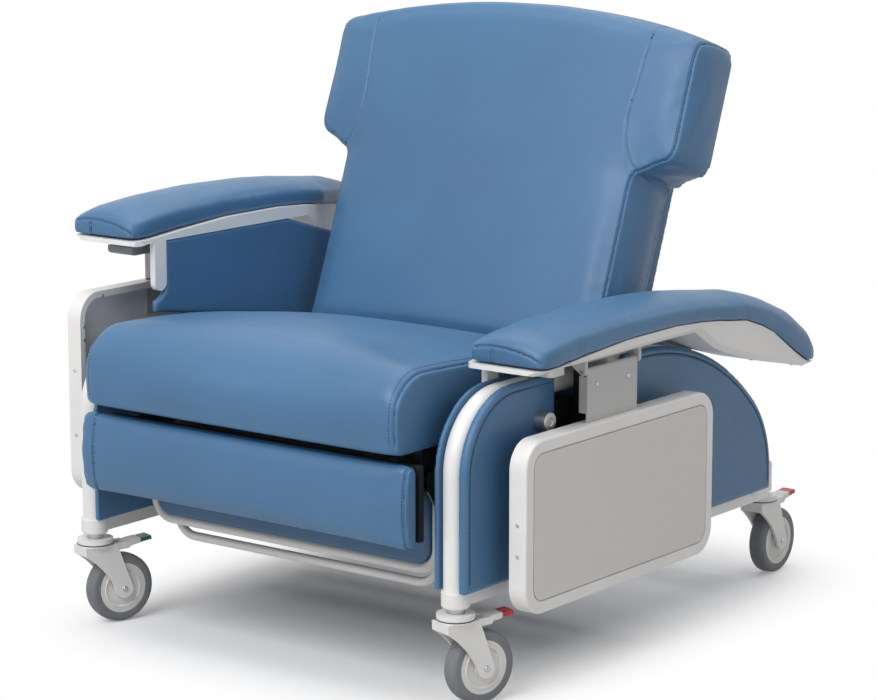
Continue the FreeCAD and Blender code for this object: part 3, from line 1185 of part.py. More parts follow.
# Base
pair("side_frame", side_frame())
keep("left_side_panel", outer_panel("left_panel"))
right_panel = outer_panel("right_panel")
cut_slab(right_panel, "bare_post", "YZ",
         rectangle("-2 * panel_lap", "right_panel_front", "panel_z - 1", "arch_top + 2 * panel_lap"),
         "panel_x - 1", "panel_x + panel_t + 1")
right_panel.setExpression("Placement.Base.y", formula("front_y"))
doc.recompute()
mirrored("right_side_panel", right_panel)
pair("inner_panel", slab("liner", "YZ", arch_outline("panel_lap - 2", "panel_z"), "liner_x", "liner_x + liner_t"))
pair("arm_guide", arm_guide())
keep("rear_cross_tube", rear_cross_tube())
keep("seat_frame", seat_frame())
keep("seat_cushion", seat_cushion())
keep("back_pivot_bolts", pivot_bolts())

STEM_SPOTS = {"front_left": ("stem_x", "0", "front_swivel"), "front_right": ("-stem_x", "0", "front_swivel"),
              "rear_left": ("rear_stem_x", "wheelbase", "rear_swivel"),
              "rear_right": ("-rear_stem_x", "wheelbase", "rear_swivel")}


def at_stems(label, piece, names):
    """One node with a copy of a piece at each of the named stems."""
    copies = []
    for name in names:
        copy = piece.Shape.copy()
        copy.translate(Vector(number(STEM_SPOTS[name][0]), number(STEM_SPOTS[name][1]), 0))
        copies.append(copy)
    keep(label, feature(label, Part.makeCompound(copies)))


at_stems("caster_stems", stem(), list(STEM_SPOTS))
at_stems("post_collars", post_collar(), ("front_left", "front_right"))

# Casters
CASTER_PIECES = (fork(), hub(), tyre(), pedal())
for caster_name, (stem_x, stem_y, swivel) in STEM_SPOTS.items():
    caster(caster_name, stem_x, stem_y, swivel)

# Backrest
for back_label, back_piece in (("back_cushion", back_cushion()), ("back_cover", back_cover()),
                               ("back_frame", back_frame())):
    keep(back_label, lean(back_piece), rests=False)

# Leg rest
keep("legrest_slide_frame", legrest_slide())
keep("legrest_board", legrest_board())
keep("legrest_pad", legrest_pad())
keep("foot_board", foot_board())
keep("foot_panel", foot_panel())
keep("foot_panel_rim", bent_loop("foot_panel_rim", "foot_half + rim_r + fit_gap", "foot_low - rim_r - fit_gap",
                                 "foot_high", "foot_corner + rim_r + fit_gap", "foot_board_y", "rim_r",
                                 "rim_r - tube_wall"))
keep("foot_loop", bent_loop("foot_loop", "loop_half", "loop_z", "loop_top", "loop_corner", "loop_y", "loop_r",
                            "loop_r - tube_wall"))

# Arms and trays
pair("arm_pad", arm_pad(), "arm_drop")
pair("arm_shell", arm_shell(), "arm_drop")
pair("arm_carriage", arm_carriage(), "arm_drop")
pair("arm_inner_panel", arm_inner_panel(), "arm_drop")
pair("tray_rod", tray_rod(), "arm_drop")
RIGHT_HIGH = "(tray_top + right_tray_rise)"
RIGHT_LOW = f"({RIGHT_HIGH} - right_tray_h)"
for make, label in ((tray_frame, "tray_frame"), (tray_panel, "tray_panel")):
    keep("left_" + label, make("left_" + label, "tray_z", "tray_top"))
    twin = make("twin_" + label, RIGHT_LOW, RIGHT_HIGH)
    twin.setExpression("Placement.Base.y", formula("front_y"))
    doc.recompute()
    mirrored("right_" + label, twin, "arm_drop")
pair("tray_bracket", tray_bracket(), "arm_drop")
pair("arm_knob", knob(), rests=False)
lever = arm_lever()
lever.setExpression("Placement.Base.y", formula("front_y"))
doc.recompute()
mirrored("right_arm_lever", lever, "arm_drop")

doc.removeObject(gauge.Name)
doc.recompute()
for item in doc.Objects:
    if {"Invalid", "Error"} & set(item.State):
        raise RuntimeError(f"{item.Name} failed: {item.State}")
for label, node in NODES.items():
    if node.Shape.isNull() or not node.Shape.isValid() or not node.Shape.Solids:
        raise RuntimeError(f"{label} has no valid solid")

os.makedirs("parts", exist_ok=True)
for label, node in NODES.items():
    node.Shape.exportStep(f"parts/{label}.step")
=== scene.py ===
"""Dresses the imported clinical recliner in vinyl, paint and moulded plastic and sets it in a pale studio."""

import json
import math

import bmesh
import bpy
from bpy.props import FloatProperty, FloatVectorProperty, IntProperty, PointerProperty
from mathutils import Matrix, Vector
from mathutils.bvhtree import BVHTree
from mathutils.kdtree import KDTree


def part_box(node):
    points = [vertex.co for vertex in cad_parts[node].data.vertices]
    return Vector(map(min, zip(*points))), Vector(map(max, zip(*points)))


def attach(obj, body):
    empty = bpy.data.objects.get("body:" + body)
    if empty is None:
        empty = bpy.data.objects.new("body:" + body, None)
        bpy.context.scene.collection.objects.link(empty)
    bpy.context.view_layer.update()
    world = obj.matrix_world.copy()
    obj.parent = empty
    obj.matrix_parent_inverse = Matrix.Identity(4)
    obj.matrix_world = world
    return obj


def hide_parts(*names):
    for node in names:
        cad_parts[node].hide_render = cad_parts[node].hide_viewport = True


bl_info = {
    "name": "Clinical recliner",
    "version": (1, 0, 0),
    "blender": (4, 5, 0),
    "location": "View3D > Sidebar > Recliner",
    "description": "Upholsters and paints a drop-arm recliner and sets it in a pale studio",
    "category": "Object",
}

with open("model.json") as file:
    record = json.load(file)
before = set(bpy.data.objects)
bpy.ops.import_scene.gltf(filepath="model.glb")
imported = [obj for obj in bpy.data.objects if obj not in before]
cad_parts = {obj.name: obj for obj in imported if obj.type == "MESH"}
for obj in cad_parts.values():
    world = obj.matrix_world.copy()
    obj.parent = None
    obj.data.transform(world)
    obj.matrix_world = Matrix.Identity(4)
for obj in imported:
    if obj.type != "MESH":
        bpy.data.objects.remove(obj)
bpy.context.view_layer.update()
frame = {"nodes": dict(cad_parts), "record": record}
NODES = frame["nodes"]
BODY_OF = {node: body for body, nodes in frame["record"]["behaviour"]["bodies"].items() for node in nodes}
SLOT_OF = {part["node"]: part["material_slot"] for part in frame["record"]["subparts"]}

# Y of the front caster stems, from which lengths along the chair are counted.
FRONT_STEMS = -0.5196
# The foot of the back's face, and how far the back leans.
BACK_FOOT = Vector((0.0, 0.511 + FRONT_STEMS, 0.500))
BACK_LEAN = math.radians(20.5)
# The sitter's sides, with the sign of X there.
SIDES = (("left", 1), ("right", -1))
# Each caster's name, its stem's x and y, and its swivel in degrees.
CASTERS = (("front_left", 0.410, 0.0, -18), ("front_right", -0.410, 0.0, -18),
           ("rear_left", 0.375, 1.018, 0), ("rear_right", -0.375, 1.018, 0))


def srgb(red, green, blue):
    """A colour given as a screen shows it, in the linear values that shaders take."""
    def linear(value):
        value /= 255
        return value / 12.92 if value <= 0.04045 else ((value + 0.055) / 1.055) ** 2.4
    return (linear(red), linear(green), linear(blue))


def colour(name, note, value):
    return FloatVectorProperty(name=name, description=note, default=value, subtype="COLOR", min=0, max=1)


def number(name, note, value, subtype="NONE"):
    return FloatProperty(name=name, description=note, default=value, subtype=subtype)


def length(name, note, value):
    return FloatProperty(name=name, description=note, default=value, unit="LENGTH", precision=4)


class RECLINER_PG_colours(bpy.types.PropertyGroup):
    """Colours of the chair's finishes."""
    vinyl: colour("Vinyl", "Upholstery", srgb(73, 116, 155))
    thread: colour("Thread", "Stitching", srgb(38, 66, 96))
    paint: colour("Frame paint", "Powder coat on the tubes", srgb(244, 243, 241))
    plastic: colour("Pale plastic", "Arm shells, tray rims and casters", srgb(243, 242, 240))
    sheet: colour("Tray sheet", "Panels of the side trays", srgb(222, 221, 219))
    bracket: colour("Bracket paint", "Tray brackets and arm carriages", srgb(190, 190, 189))
    dark_paint: colour("Dark paint", "Hidden steelwork", srgb(40, 41, 43))
    tyre: colour("Tyre", "Caster treads", srgb(128, 131, 136))
    brake: colour("Brake", "Locking pedals", srgb(200, 34, 46))
    steer: colour("Steer", "The direction lock pedal", srgb(22, 116, 78))


class RECLINER_PG_sewing(bpy.types.PropertyGroup):
    """Sizes of the cushions' covers and seams."""
    grid: length("Cover grid", "Mesh size of the big cushions", 0.006)
    pad_grid: length("Pad grid", "Mesh size of the arm and leg pads", 0.005)
    fine_grid: length("Fine grid", "Mesh size of thin panels", 0.0035)
    seam_depth: length("Seam depth", "How far a seam is drawn in", 0.0022)
    seam_width: length("Seam width", "Half width of the hollow along a seam", 0.0034)
    pitch: length("Stitch pitch", "From one stitch to the next", 0.0062)
    thread: length("Thread", "Thread thickness", 0.0014)
    beside: length("Stitch offset", "From a seam to its topstitch", 0.0055)
    pressure: number("Filling", "Pressure of the filling", 4.0)
    settle: IntProperty(name="Settling frames", description="Frames that the covers settle for", default=14)


class RECLINER_PG_studio(bpy.types.PropertyGroup):
    """The viewpoint and the studio light."""
    azimuth: number("Azimuth", "Camera's turn to the sitter's left", math.radians(37.4), "ANGLE")
    elevation: number("Elevation", "Camera's height angle", math.radians(10.9), "ANGLE")
    distance: length("Distance", "From the camera to its target", 5.4613)
    target: FloatVectorProperty(name="Target", description="Middle of the view", unit="LENGTH",
                                default=(0.0426, -0.0870, 0.4949))
    lens: number("Lens", "Focal length in mm", 123.53)
    key: number("Key", "Power of the large front light", 120.0)
    overhead: number("Overhead", "Power of the light above", 76.0)
    side: number("Side light", "Power of the light on the sitter's left", 7.0)
    ambient: number("Ambient", "Strength of the room's light", 0.30)
    floor_gain: number("Floor gain", "How much paler the floor looks than it lights", 1.85)


class RECLINER_PG_chair(bpy.types.PropertyGroup):
    """Everything that a user would change."""
    colours: PointerProperty(type=RECLINER_PG_colours)
    sewing: PointerProperty(type=RECLINER_PG_sewing)
    studio: PointerProperty(type=RECLINER_PG_studio)


class Socket:
    """A node's output that takes part in Python arithmetic; each operation adds a Math node."""

    def __init__(self, graph, plug):
        self.graph = graph
        self.plug = plug

    def join(self, operation, first, second):
        return self.graph.node("ShaderNodeMath", {"operation": operation}, {0: first, 1: second})

    def most(self, other):
        return self.join("MAXIMUM", self, other)

    def __add__(self, other):
        return self.join("ADD", self, other)

    def __radd__(self, other):
        return self.join("ADD", other, self)

    def __sub__(self, other):
        return self.join("SUBTRACT", self, other)

    def __rsub__(self, other):
        return self.join("SUBTRACT", other, self)

    def __mul__(self, other):
        return self.join("MULTIPLY", self, other)

    def __rmul__(self, other):
        return self.join("MULTIPLY", other, self)


class Graph:
    """A node tree whose nodes all come from one method."""

    def __init__(self, tree):
        self.tree = tree

    def connect(self, place, value):
        """Links a socket to a node's input, or sets the input's own value."""
        if isinstance(value, Socket):
            self.tree.links.new(value.plug, place)
        else:
            place.default_value = value

    def node(self, kind, settings, sockets, output=0):
        """Adds a node with its settings first, then its values and links, and returns one of its outputs."""
        made = self.tree.nodes.new(kind)
        for key, value in settings.items():
            setattr(made, key, value)
        for key, value in sockets.items():
            self.connect(made.inputs[key], value)
        return Socket(self, made.outputs[output])

    def straight(self):
        """1 for rays that show a thing itself: seen by the camera, in a reflection or through glass."""
        camera, glossy, through = [self.node("ShaderNodeLightPath", {}, {}, name)
                                   for name in ("Is Camera Ray", "Is Glossy Ray", "Is Transmission Ray")]
        return camera.most(glossy.most(through))


class Finish(Graph):
    """One procedural material."""

    def __init__(self, name, plain):
        """plain holds the shader's values that are the same all over."""
        self.material = bpy.data.materials.new(name)
        self.material.use_nodes = True
        super().__init__(self.material.node_tree)
        self.shader = self.tree.nodes["Principled BSDF"]
        for key, value in plain.items():
            self.feed(key, value)
        self.place = self.node("ShaderNodeTexCoord", {}, {}, "Object")

    def feed(self, name, value):
        """Sets or links one of the shader's inputs."""
        self.connect(self.shader.inputs[name], value)

    def noise(self, scale, detail=2.0, place=None):
        return self.node("ShaderNodeTexNoise", {},
                         {"Vector": place or self.place, "Scale": scale, "Detail": detail}, "Fac")

    def stretched(self, scale):
        """The piece's own coordinates, stretched along its axes."""
        return self.node("ShaderNodeMapping", {}, {"Vector": self.place, "Scale": scale})

    def cells(self, scale):
        return self.node("ShaderNodeTexVoronoi", {"feature": "SMOOTH_F1"},
                         {"Vector": self.place, "Scale": scale, "Smoothness": 0.4}, "Distance")

    def between(self, low, high, value):
        """0 below low, 1 above high and smooth in between."""
        return self.node("ShaderNodeMapRange", {"interpolation_type": "SMOOTHSTEP"},
                         {"Value": value, "From Min": low, "From Max": high})

    def height(self):
        return self.node("ShaderNodeSeparateXYZ", {}, {"Vector": self.place}, "Z")

    def edges(self, low, high):
        """1 on the outer edges of the mesh, where hands and covers wear."""
        return self.between(low, high, self.node("ShaderNodeNewGeometry", {}, {}, "Pointiness"))

    def mix(self, factor, first, second):
        """A colour between two, each given as a colour or a socket."""
        def full(value):
            return value if isinstance(value, Socket) else (*value, 1)
        return self.node("ShaderNodeMix", {"data_type": "RGBA"},
                         {0: factor, 6: full(first), 7: full(second)}, 2)

    def clouded(self, noise, value, low, high):
        """A colour that drifts between two brightnesses with a noise."""
        return self.mix(self.between(0.3, 0.7, noise), shade(value, low), shade(value, high))

    def grey(self, value):
        return self.node("ShaderNodeCombineColor", {}, {"Red": value, "Green": value, "Blue": value})

    def bump(self, strength, depth, height, under=None):
        sockets = {"Strength": strength, "Distance": depth, "Height": height}
        if under:
            sockets["Normal"] = under
        return self.node("ShaderNodeBump", {}, sockets)


def shade(value, factor):
    """A colour scaled in brightness."""
    return tuple(min(1.0, part * factor) for part in value)


def vinyl_finish(name, value):
    """Satin vinyl: a fine pebble grain, slow tone changes, slight stretch ripples and paler worn edges."""
    finish = Finish(name, {"Coat Weight": 0.08, "Coat Roughness": 0.3, "Specular IOR Level": 0.45})
    fleck = finish.noise(210.0, 2.0)
    body = finish.clouded(finish.noise(3.2, 3.0), value, 0.93, 1.05)
    body = finish.mix(finish.between(0.55, 0.8, fleck) * 0.22, body, shade(value, 0.8))
    body = finish.mix(finish.edges(0.515, 0.6) * 0.35, body, shade(value, 1.22))
    finish.feed("Base Color", body)
    finish.feed("Roughness", 0.36 + 0.14 * finish.noise(26.0, 3.0) + 0.05 * fleck)
    grain = finish.cells(620.0) + 0.5 * finish.noise(1100.0, 1.0)
    ripple = finish.bump(0.16, 0.004, finish.noise(11.0, 2.0))
    finish.feed("Normal", finish.bump(0.10, 0.0006, grain, ripple))
    return finish.material


def paint_finish(name, value, roughness):
    """Powder coat: a slight orange peel, rubbed edges and scuffs near the floor."""
    finish = Finish(name, {"Coat Weight": 0.25, "Coat Roughness": 0.12})
    low = 1 - finish.between(0.06, 0.20, finish.height())
    scuff = finish.between(0.56, 0.72, finish.noise(60.0, 4.0)) * low
    tone = finish.clouded(finish.noise(5.0, 2.0), value, 0.97, 1.02)
    tone = finish.mix(scuff * 0.12, tone, shade(value, 0.6))
    finish.feed("Base Color", finish.mix(finish.edges(0.54, 0.66) * 0.25, tone, shade(value, 1.12)))
    finish.feed("Roughness", roughness + 0.10 * finish.noise(38.0, 2.0) + 0.2 * scuff)
    finish.feed("Normal", finish.bump(0.06, 0.0008, finish.noise(260.0, 1.0)))
    return finish.material


def plastic_finish(name, value, roughness, grain=900.0):
    """Moulded plastic: a fine spark-eroded grain, faint flow marks and a softer gloss where it is handled."""
    finish = Finish(name, {"Specular IOR Level": 0.45})
    flow = finish.noise(7.0, 3.0)
    finish.feed("Base Color", finish.clouded(flow, value, 0.96, 1.02))
    finish.feed("Roughness", roughness + 0.10 * flow - 0.08 * finish.edges(0.53, 0.65))
    finish.feed("Normal", finish.bump(0.08, 0.0005, finish.noise(grain, 2.0)))
    return finish.material


def sheet_finish(name, value):
    """Laminate sheet: a fine speckle and long faint wipe marks."""
    finish = Finish(name, {})
    speck = finish.noise(520.0, 2.0)
    wipe = finish.noise(4.0, 3.0, finish.stretched((1.0, 3.0, 22.0)))
    tone = finish.mix(finish.between(0.35, 0.65, speck) * 0.6, shade(value, 0.97), shade(value, 1.03))
    finish.feed("Base Color", finish.mix(finish.between(0.45, 0.7, wipe) * 0.4, tone, shade(value, 0.95)))
    finish.feed("Roughness", 0.36 + 0.12 * wipe)
    finish.feed("Normal", finish.bump(0.05, 0.0004, speck))
    return finish.material


def metal_finish(name, value, roughness, stretch):
    """Bare or plated metal with fine lines along one direction."""
    finish = Finish(name, {"Metallic": 1.0})
    lines = finish.noise(60.0, 3.0, finish.stretched(stretch))
    finish.feed("Base Color", finish.clouded(lines, value, 0.86, 1.05))
    finish.feed("Roughness", roughness + 0.16 * lines)
    finish.feed("Normal", finish.bump(0.08, 0.0004, lines))
    return finish.material


def rubber_finish(name, value):
    """Grey caster tread with floor dust on its running face."""
    finish = Finish(name, {"Specular IOR Level": 0.3})
    dust = finish.between(0.5, 0.75, finish.noise(75.0, 4.0))
    tone = finish.clouded(finish.noise(18.0, 2.0), value, 0.9, 1.06)
    finish.feed("Base Color", finish.mix(dust * 0.3, tone, shade(value, 1.4)))
    finish.feed("Roughness", 0.55 + 0.2 * dust)
    finish.feed("Normal", finish.bump(0.1, 0.0006, finish.noise(420.0, 2.0)))
    return finish.material


# The finishes by name, filled by the first operator.
FINISHES = {}
# How a cover behaves while it settles on its filling.
CLOTH = {"quality": 4, "mass": 0.35, "tension_stiffness": 40, "compression_stiffness": 40,
         "bending_stiffness": 12, "use_pressure": True}
# How far inside its solid a cover starts, as a share of its swell.
SUNK = 0.4
# How firmly a point is held before evening out leaves it alone, and before the cloth run does.
FIRM, NAILED = 0.7, 0.99
# Spacing of the points that an evened-out seam keeps to.
EVEN = 0.015
# In seam widths: where the mesh is refined, once each, is drawn onto a seam and is shaped by it.
REFINED = (3.2, 2.2)
ON_SEAM, SEAM_REACH = 0.32, 3
# A stitch's ends in its pitch; its rings' places along it, girths and lifts in thread thicknesses.
STITCH_ENDS = (0.14, 0.86)
STITCH_RINGS = ((0, 0.35, -0.3), (0.2, 0.9, 0.15), (0.8, 0.9, 0.15), (1, 0.35, -0.3))
STITCH_CORNERS = 6


def place_in_scene(name, data):
    """A new object with that mesh, lamp or camera, linked to the scene."""
    piece = bpy.data.objects.new(name, data)
    bpy.context.scene.collection.objects.link(piece)
    return piece


def piece_from(name, work, material):
    """A new object from the gathered faces."""
    mesh = bpy.data.meshes.new(name)
    work.to_mesh(mesh)
    work.free()
    mesh.materials.append(material)
    return place_in_scene(name, mesh)


def applied(piece):
    """Bakes a piece's modifiers into its mesh."""
    graph = bpy.context.evaluated_depsgraph_get()
    mesh = bpy.data.meshes.new_from_object(piece.evaluated_get(graph))
    piece.modifiers.clear()
    piece.data = mesh
    return piece


def cover(node, grid):
    """An even-meshed copy of a soft CAD solid, as the start of its cover."""
    piece = place_in_scene(node + "_cover", NODES[node].data.copy())
    piece.data.materials.clear()
    remesh = piece.modifiers.new("even_mesh", "REMESH")
    remesh.mode = "VOXEL"
    remesh.voxel_size = grid
    wrap = piece.modifiers.new("onto_faces", "SHRINKWRAP")
    wrap.target = NODES[node]
    return applied(piece)


def relax(piece, rounds, kept=None):
    """Evens out the cover's surface, apart from the points that are kept."""
    smooth = piece.modifiers.new("even_out", "SMOOTH")
    smooth.iterations = rounds
    if kept:
        group = piece.vertex_groups.new(name="loose")
        group.add([vertex.index for vertex in piece.data.vertices if not kept(vertex.co)], 1.0, "REPLACE")
        smooth.vertex_group = group.name
    applied(piece)
    piece.vertex_groups.clear()
    return piece


def ramp(value, low, high):
    """0 below low, 1 above high and even in between."""
    return min(1.0, max(0.0, (value - low) / (high - low)))


def swell(piece, most, held):
    """Lets the cover fill out under its stuffing: a cloth run from a slightly smaller start, held by a share
    of 0 to 1 where it is nailed or sewn down, with no point moving further than most."""
    sewing = bpy.context.scene.recliner.sewing
    mesh = piece.data
    start = [vertex.co.copy() for vertex in mesh.vertices]
    loose = [1 - held(point) for point in start]
    facing = [vertex.normal.copy() for vertex in mesh.vertices]
    for vertex, share, outwards in zip(mesh.vertices, loose, facing):
        vertex.co -= outwards * most * SUNK * share
    group = piece.vertex_groups.new(name="board")
    group.add([index for index, share in enumerate(loose) if share < 1 - NAILED], 1.0, "REPLACE")
    stuffing = piece.modifiers.new("stuffing", "CLOTH")
    for key, value in CLOTH.items():
        setattr(stuffing.settings, key, value)
    stuffing.settings.uniform_pressure_force = sewing.pressure
    stuffing.settings.effector_weights.gravity = 0
    stuffing.settings.vertex_group_mass = group.name
    stuffing.collision_settings.use_collision = False
    scene = bpy.context.scene
    for step in range(1, sewing.settle + 1):
        scene.frame_set(step)
    applied(piece)
    for vertex, before, share in zip(piece.data.vertices, start, loose):
        move = vertex.co - before
        reach = move.length
        if reach > 1e-9:
            vertex.co = before + move * (share * most * math.tanh(reach / most) / reach)
    piece.vertex_groups.clear()
    scene.frame_set(1)


class Seam:
    """A line on a cover: points on its surface, about 2 mm apart, with the surface's directions there."""

    STEP = 0.002

    def __init__(self, piece, guide):
        """guide is a list of points near the surface that the seam passes."""
        self.tree = BVHTree.FromObject(piece, bpy.context.evaluated_depsgraph_get())
        self.points = [self.tree.find_nearest(point)[:2] for point in spaced(guide, self.STEP)]

    def beside(self, offset):
        """The same line, moved sideways over the surface."""
        moved = []
        last = len(self.points) - 1
        for index, (spot, normal) in enumerate(self.points):
            ahead = self.points[min(index + 2, last)][0]
            behind = self.points[max(index - 2, 0)][0]
            side = (ahead - behind).cross(normal).normalized()
            moved.append(self.tree.find_nearest(spot + side * offset)[:2])
        return moved


def smooth_line(points, each=12):
    """A Catmull-Rom line through the points, with each steps between two."""
    line = []
    full = [points[0] * 2 - points[1], *points, points[-1] * 2 - points[-2]]
    for a, b, c, d in zip(full, full[1:], full[2:], full[3:]):
        for index in range(each):
            t = index / each
            line.append(0.5 * (2 * b + (c - a) * t + (2 * a - 5 * b + 4 * c - d) * t * t
                               + (3 * b - a - 3 * c + d) * t ** 3))
    line.append(points[-1])
    return line


def distances(points):
    """How far along a polyline each of its points lies."""
    marks = [0.0]
    for first, second in zip(points, points[1:]):
        marks.append(marks[-1] + (second - first).length)
    return marks


def stretch(marks, reach, place):
    """The stretch of a polyline, from place on, that holds a distance along it, and its share there."""
    while place < len(marks) - 2 and marks[place + 1] < reach:
        place += 1
    span = marks[place + 1] - marks[place]
    return place, (reach - marks[place]) / span if span else 0.0


def spaced(points, step):
    """Points at even spacing along a polyline."""
    marks = distances(points)
    count = max(2, round(marks[-1] / step))
    line = []
    place = 0
    for index in range(count + 1):
        place, share = stretch(marks, marks[-1] * index / count, place)
        line.append(points[place].lerp(points[place + 1], share))
    return line


def slice_line(piece, across, keep):
    """The outline of a piece in the plane X = across, from its lowest end, as far as keep allows."""
    work = bmesh.new()
    work.from_mesh(piece.data)
    cut = bmesh.ops.bisect_plane(work, geom=work.verts[:] + work.edges[:] + work.faces[:],
                                 plane_co=(across, 0, 0), plane_no=(1, 0, 0))["geom_cut"]
    links = {}
    for edge in (part for part in cut if isinstance(part, bmesh.types.BMEdge)):
        for vertex in edge.verts:
            links.setdefault(vertex, []).append(edge.other_vert(vertex))
    kept = {vertex for vertex in links if keep(vertex.co)}
    lowest = sorted(kept, key=lambda vertex: (vertex.co.z, vertex.co.y))
    ends = [vertex for vertex in lowest if sum(other in kept for other in links[vertex]) == 1]
    best = []
    for start in ends or lowest[:1]:
        line = [start]
        passed = {start}
        while True:
            step = [other for other in links[line[-1]] if other in kept and other not in passed]
            if not step:
                break
            line.append(step[0])
            passed.add(step[0])
        if len(line) > len(best):
            best = line
    points = [vertex.co.copy() for vertex in best]
    work.free()
    return points


def end_line(piece, across, keep):
    """The same outline, evened out along its length."""
    return smooth_line(spaced(slice_line(piece, across, keep), EVEN), 6)


def groove(share):
    """A seam's shape across its width: drawn in along the seam, with a slight roll on either side."""
    return math.exp(-2.6 * share * share) - 0.16 * math.exp(-2.0 * (share - 1.6) ** 2)


def sew(piece, seams, depth):
    """Draws the cover in along its seams, on a mesh refined there with its nearest points on the seam."""
    sewing = bpy.context.scene.recliner.sewing
    spots = []
    runs = []
    for seam in seams:
        line = [spot for spot, _ in seam.points]
        spots += line
        runs += [(ahead - behind).normalized()
                 for behind, ahead in zip([line[0], *line], [*line[1:], line[-1]])]
    near = KDTree(len(spots))
    for index, spot in enumerate(spots):
        near.insert(spot, index)
    near.balance()
    work = bmesh.new()
    work.from_mesh(piece.data)
    for reach in REFINED:
        close = {vertex for vertex in work.verts if near.find(vertex.co)[2] < sewing.seam_width * reach}
        edges = [edge for edge in work.edges if edge.verts[0] in close and edge.verts[1] in close]
        bmesh.ops.subdivide_edges(work, edges=edges, cuts=1, use_grid_fill=True)
    work.normal_update()
    for vertex in work.verts:
        spot, index, gap = near.find(vertex.co)
        share = gap / sewing.seam_width
        if share < ON_SEAM:
            aside = spot - vertex.co
            vertex.co += aside - runs[index] * aside.dot(runs[index])
            share = 0.0
        if share < SEAM_REACH:
            vertex.co -= vertex.normal * sewing.seam_depth * depth * groove(share)
    work.to_mesh(piece.data)
    work.free()


def turns(count):
    """Angles that share out a full turn."""
    return [math.tau * step / count for step in range(count)]


def bridge(work, rings):
    """Faces between rings of vertices that follow one another."""
    for lower, upper in zip(rings, rings[1:]):
        for corner in range(len(lower)):
            after = (corner + 1) % len(lower)
            work.faces.new((lower[corner], lower[after], upper[after], upper[corner]))


def settle(piece, slot, node, smooth=True):
    """Sets a piece's smooth or flat shading and lets it move with the body of a CAD node."""
    for face in piece.data.polygons:
        face.use_smooth = smooth
    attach(piece, BODY_OF[node])


def topstitch(name, lines, node):
    """A row of thread stitches along each line of surface points, on the cover of a CAD node."""
    sewing = bpy.context.scene.recliner.sewing
    work = bmesh.new()
    for line in lines:
        marks = distances([spot for spot, _ in line])
        place = 0
        for index in range(int(marks[-1] / sewing.pitch)):
            ends = []
            for reach in STITCH_ENDS:
                place, share = stretch(marks, (index + reach) * sewing.pitch, place)
                ends.append((line[place][0].lerp(line[place + 1][0], share), line[place][1]))
            (tail, up), (head, _) = ends
            run = head - tail
            side = run.cross(up).normalized()
            up = side.cross(run).normalized()
            rings = []
            for share, girth, lift in STITCH_RINGS:
                middle = tail + run * share + up * lift * sewing.thread
                reach = girth * sewing.thread / 2
                rings.append([work.verts.new(middle + (side * math.cos(turn) + up * math.sin(turn)) * reach)
                              for turn in turns(STITCH_CORNERS)])
            bridge(work, rings)
            work.faces.new(rings[0][::-1])
            work.faces.new(rings[-1])
    settle(piece_from(name, work, FINISHES["thread"]), SLOT_OF[node], node)


def dress(piece, node):
    """Gives a finished cover its vinyl and lets it stand for its CAD solid."""
    piece.data.materials.append(FINISHES["blue_vinyl"])
    settle(piece, "blue_vinyl", node)
    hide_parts(node)


class Step:
    """What the chair's operators share."""
    bl_options = {"REGISTER", "UNDO"}


class RECLINER_OT_finishes(Step, bpy.types.Operator):
    """Mix the finishes and paint the rigid CAD pieces"""
    bl_idname = "recliner.finishes"
    bl_label = "Finishes"

    def execute(self, context):
        tones = context.scene.recliner.colours
        recipes = {
            "blue_vinyl": (vinyl_finish, tones.vinyl),
            "thread": (plastic_finish, tones.thread, 0.6, 2400.0),
            "white_paint": (paint_finish, tones.paint, 0.26),
            "white_plastic": (plastic_finish, tones.plastic, 0.38),
            "grey_plastic": (plastic_finish, shade(tones.plastic, 0.9), 0.4),
            "tray_sheet": (sheet_finish, tones.sheet),
            "black_plastic": (plastic_finish, shade(tones.dark_paint, 0.6), 0.5),
            "lever_plastic": (plastic_finish, shade(tones.dark_paint, 12.0), 0.45),
            "black_steel": (paint_finish, tones.dark_paint, 0.4),
            "grey_steel": (paint_finish, tones.bracket, 0.34),
            "zinc": (metal_finish, (0.48, 0.49, 0.51), 0.26, (1.0, 1.0, 9.0)),
            "knob_metal": (metal_finish, (0.46, 0.46, 0.455), 0.30, (9.0, 1.0, 1.0)),
            "tyre_rubber": (rubber_finish, tones.tyre),
            "red_plastic": (plastic_finish, tones.brake, 0.3),
            "green_plastic": (plastic_finish, tones.steer, 0.3),
            "board": (plastic_finish, shade(tones.dark_paint, 0.8), 0.6, 300.0),
        }
        for name, (recipe, *values) in recipes.items():
            FINISHES[name] = recipe(name, *values)
        for name, node in NODES.items():
            node.data.materials.clear()
            node.data.materials.append(FINISHES[SLOT_OF[name]])
        return {"FINISHED"}


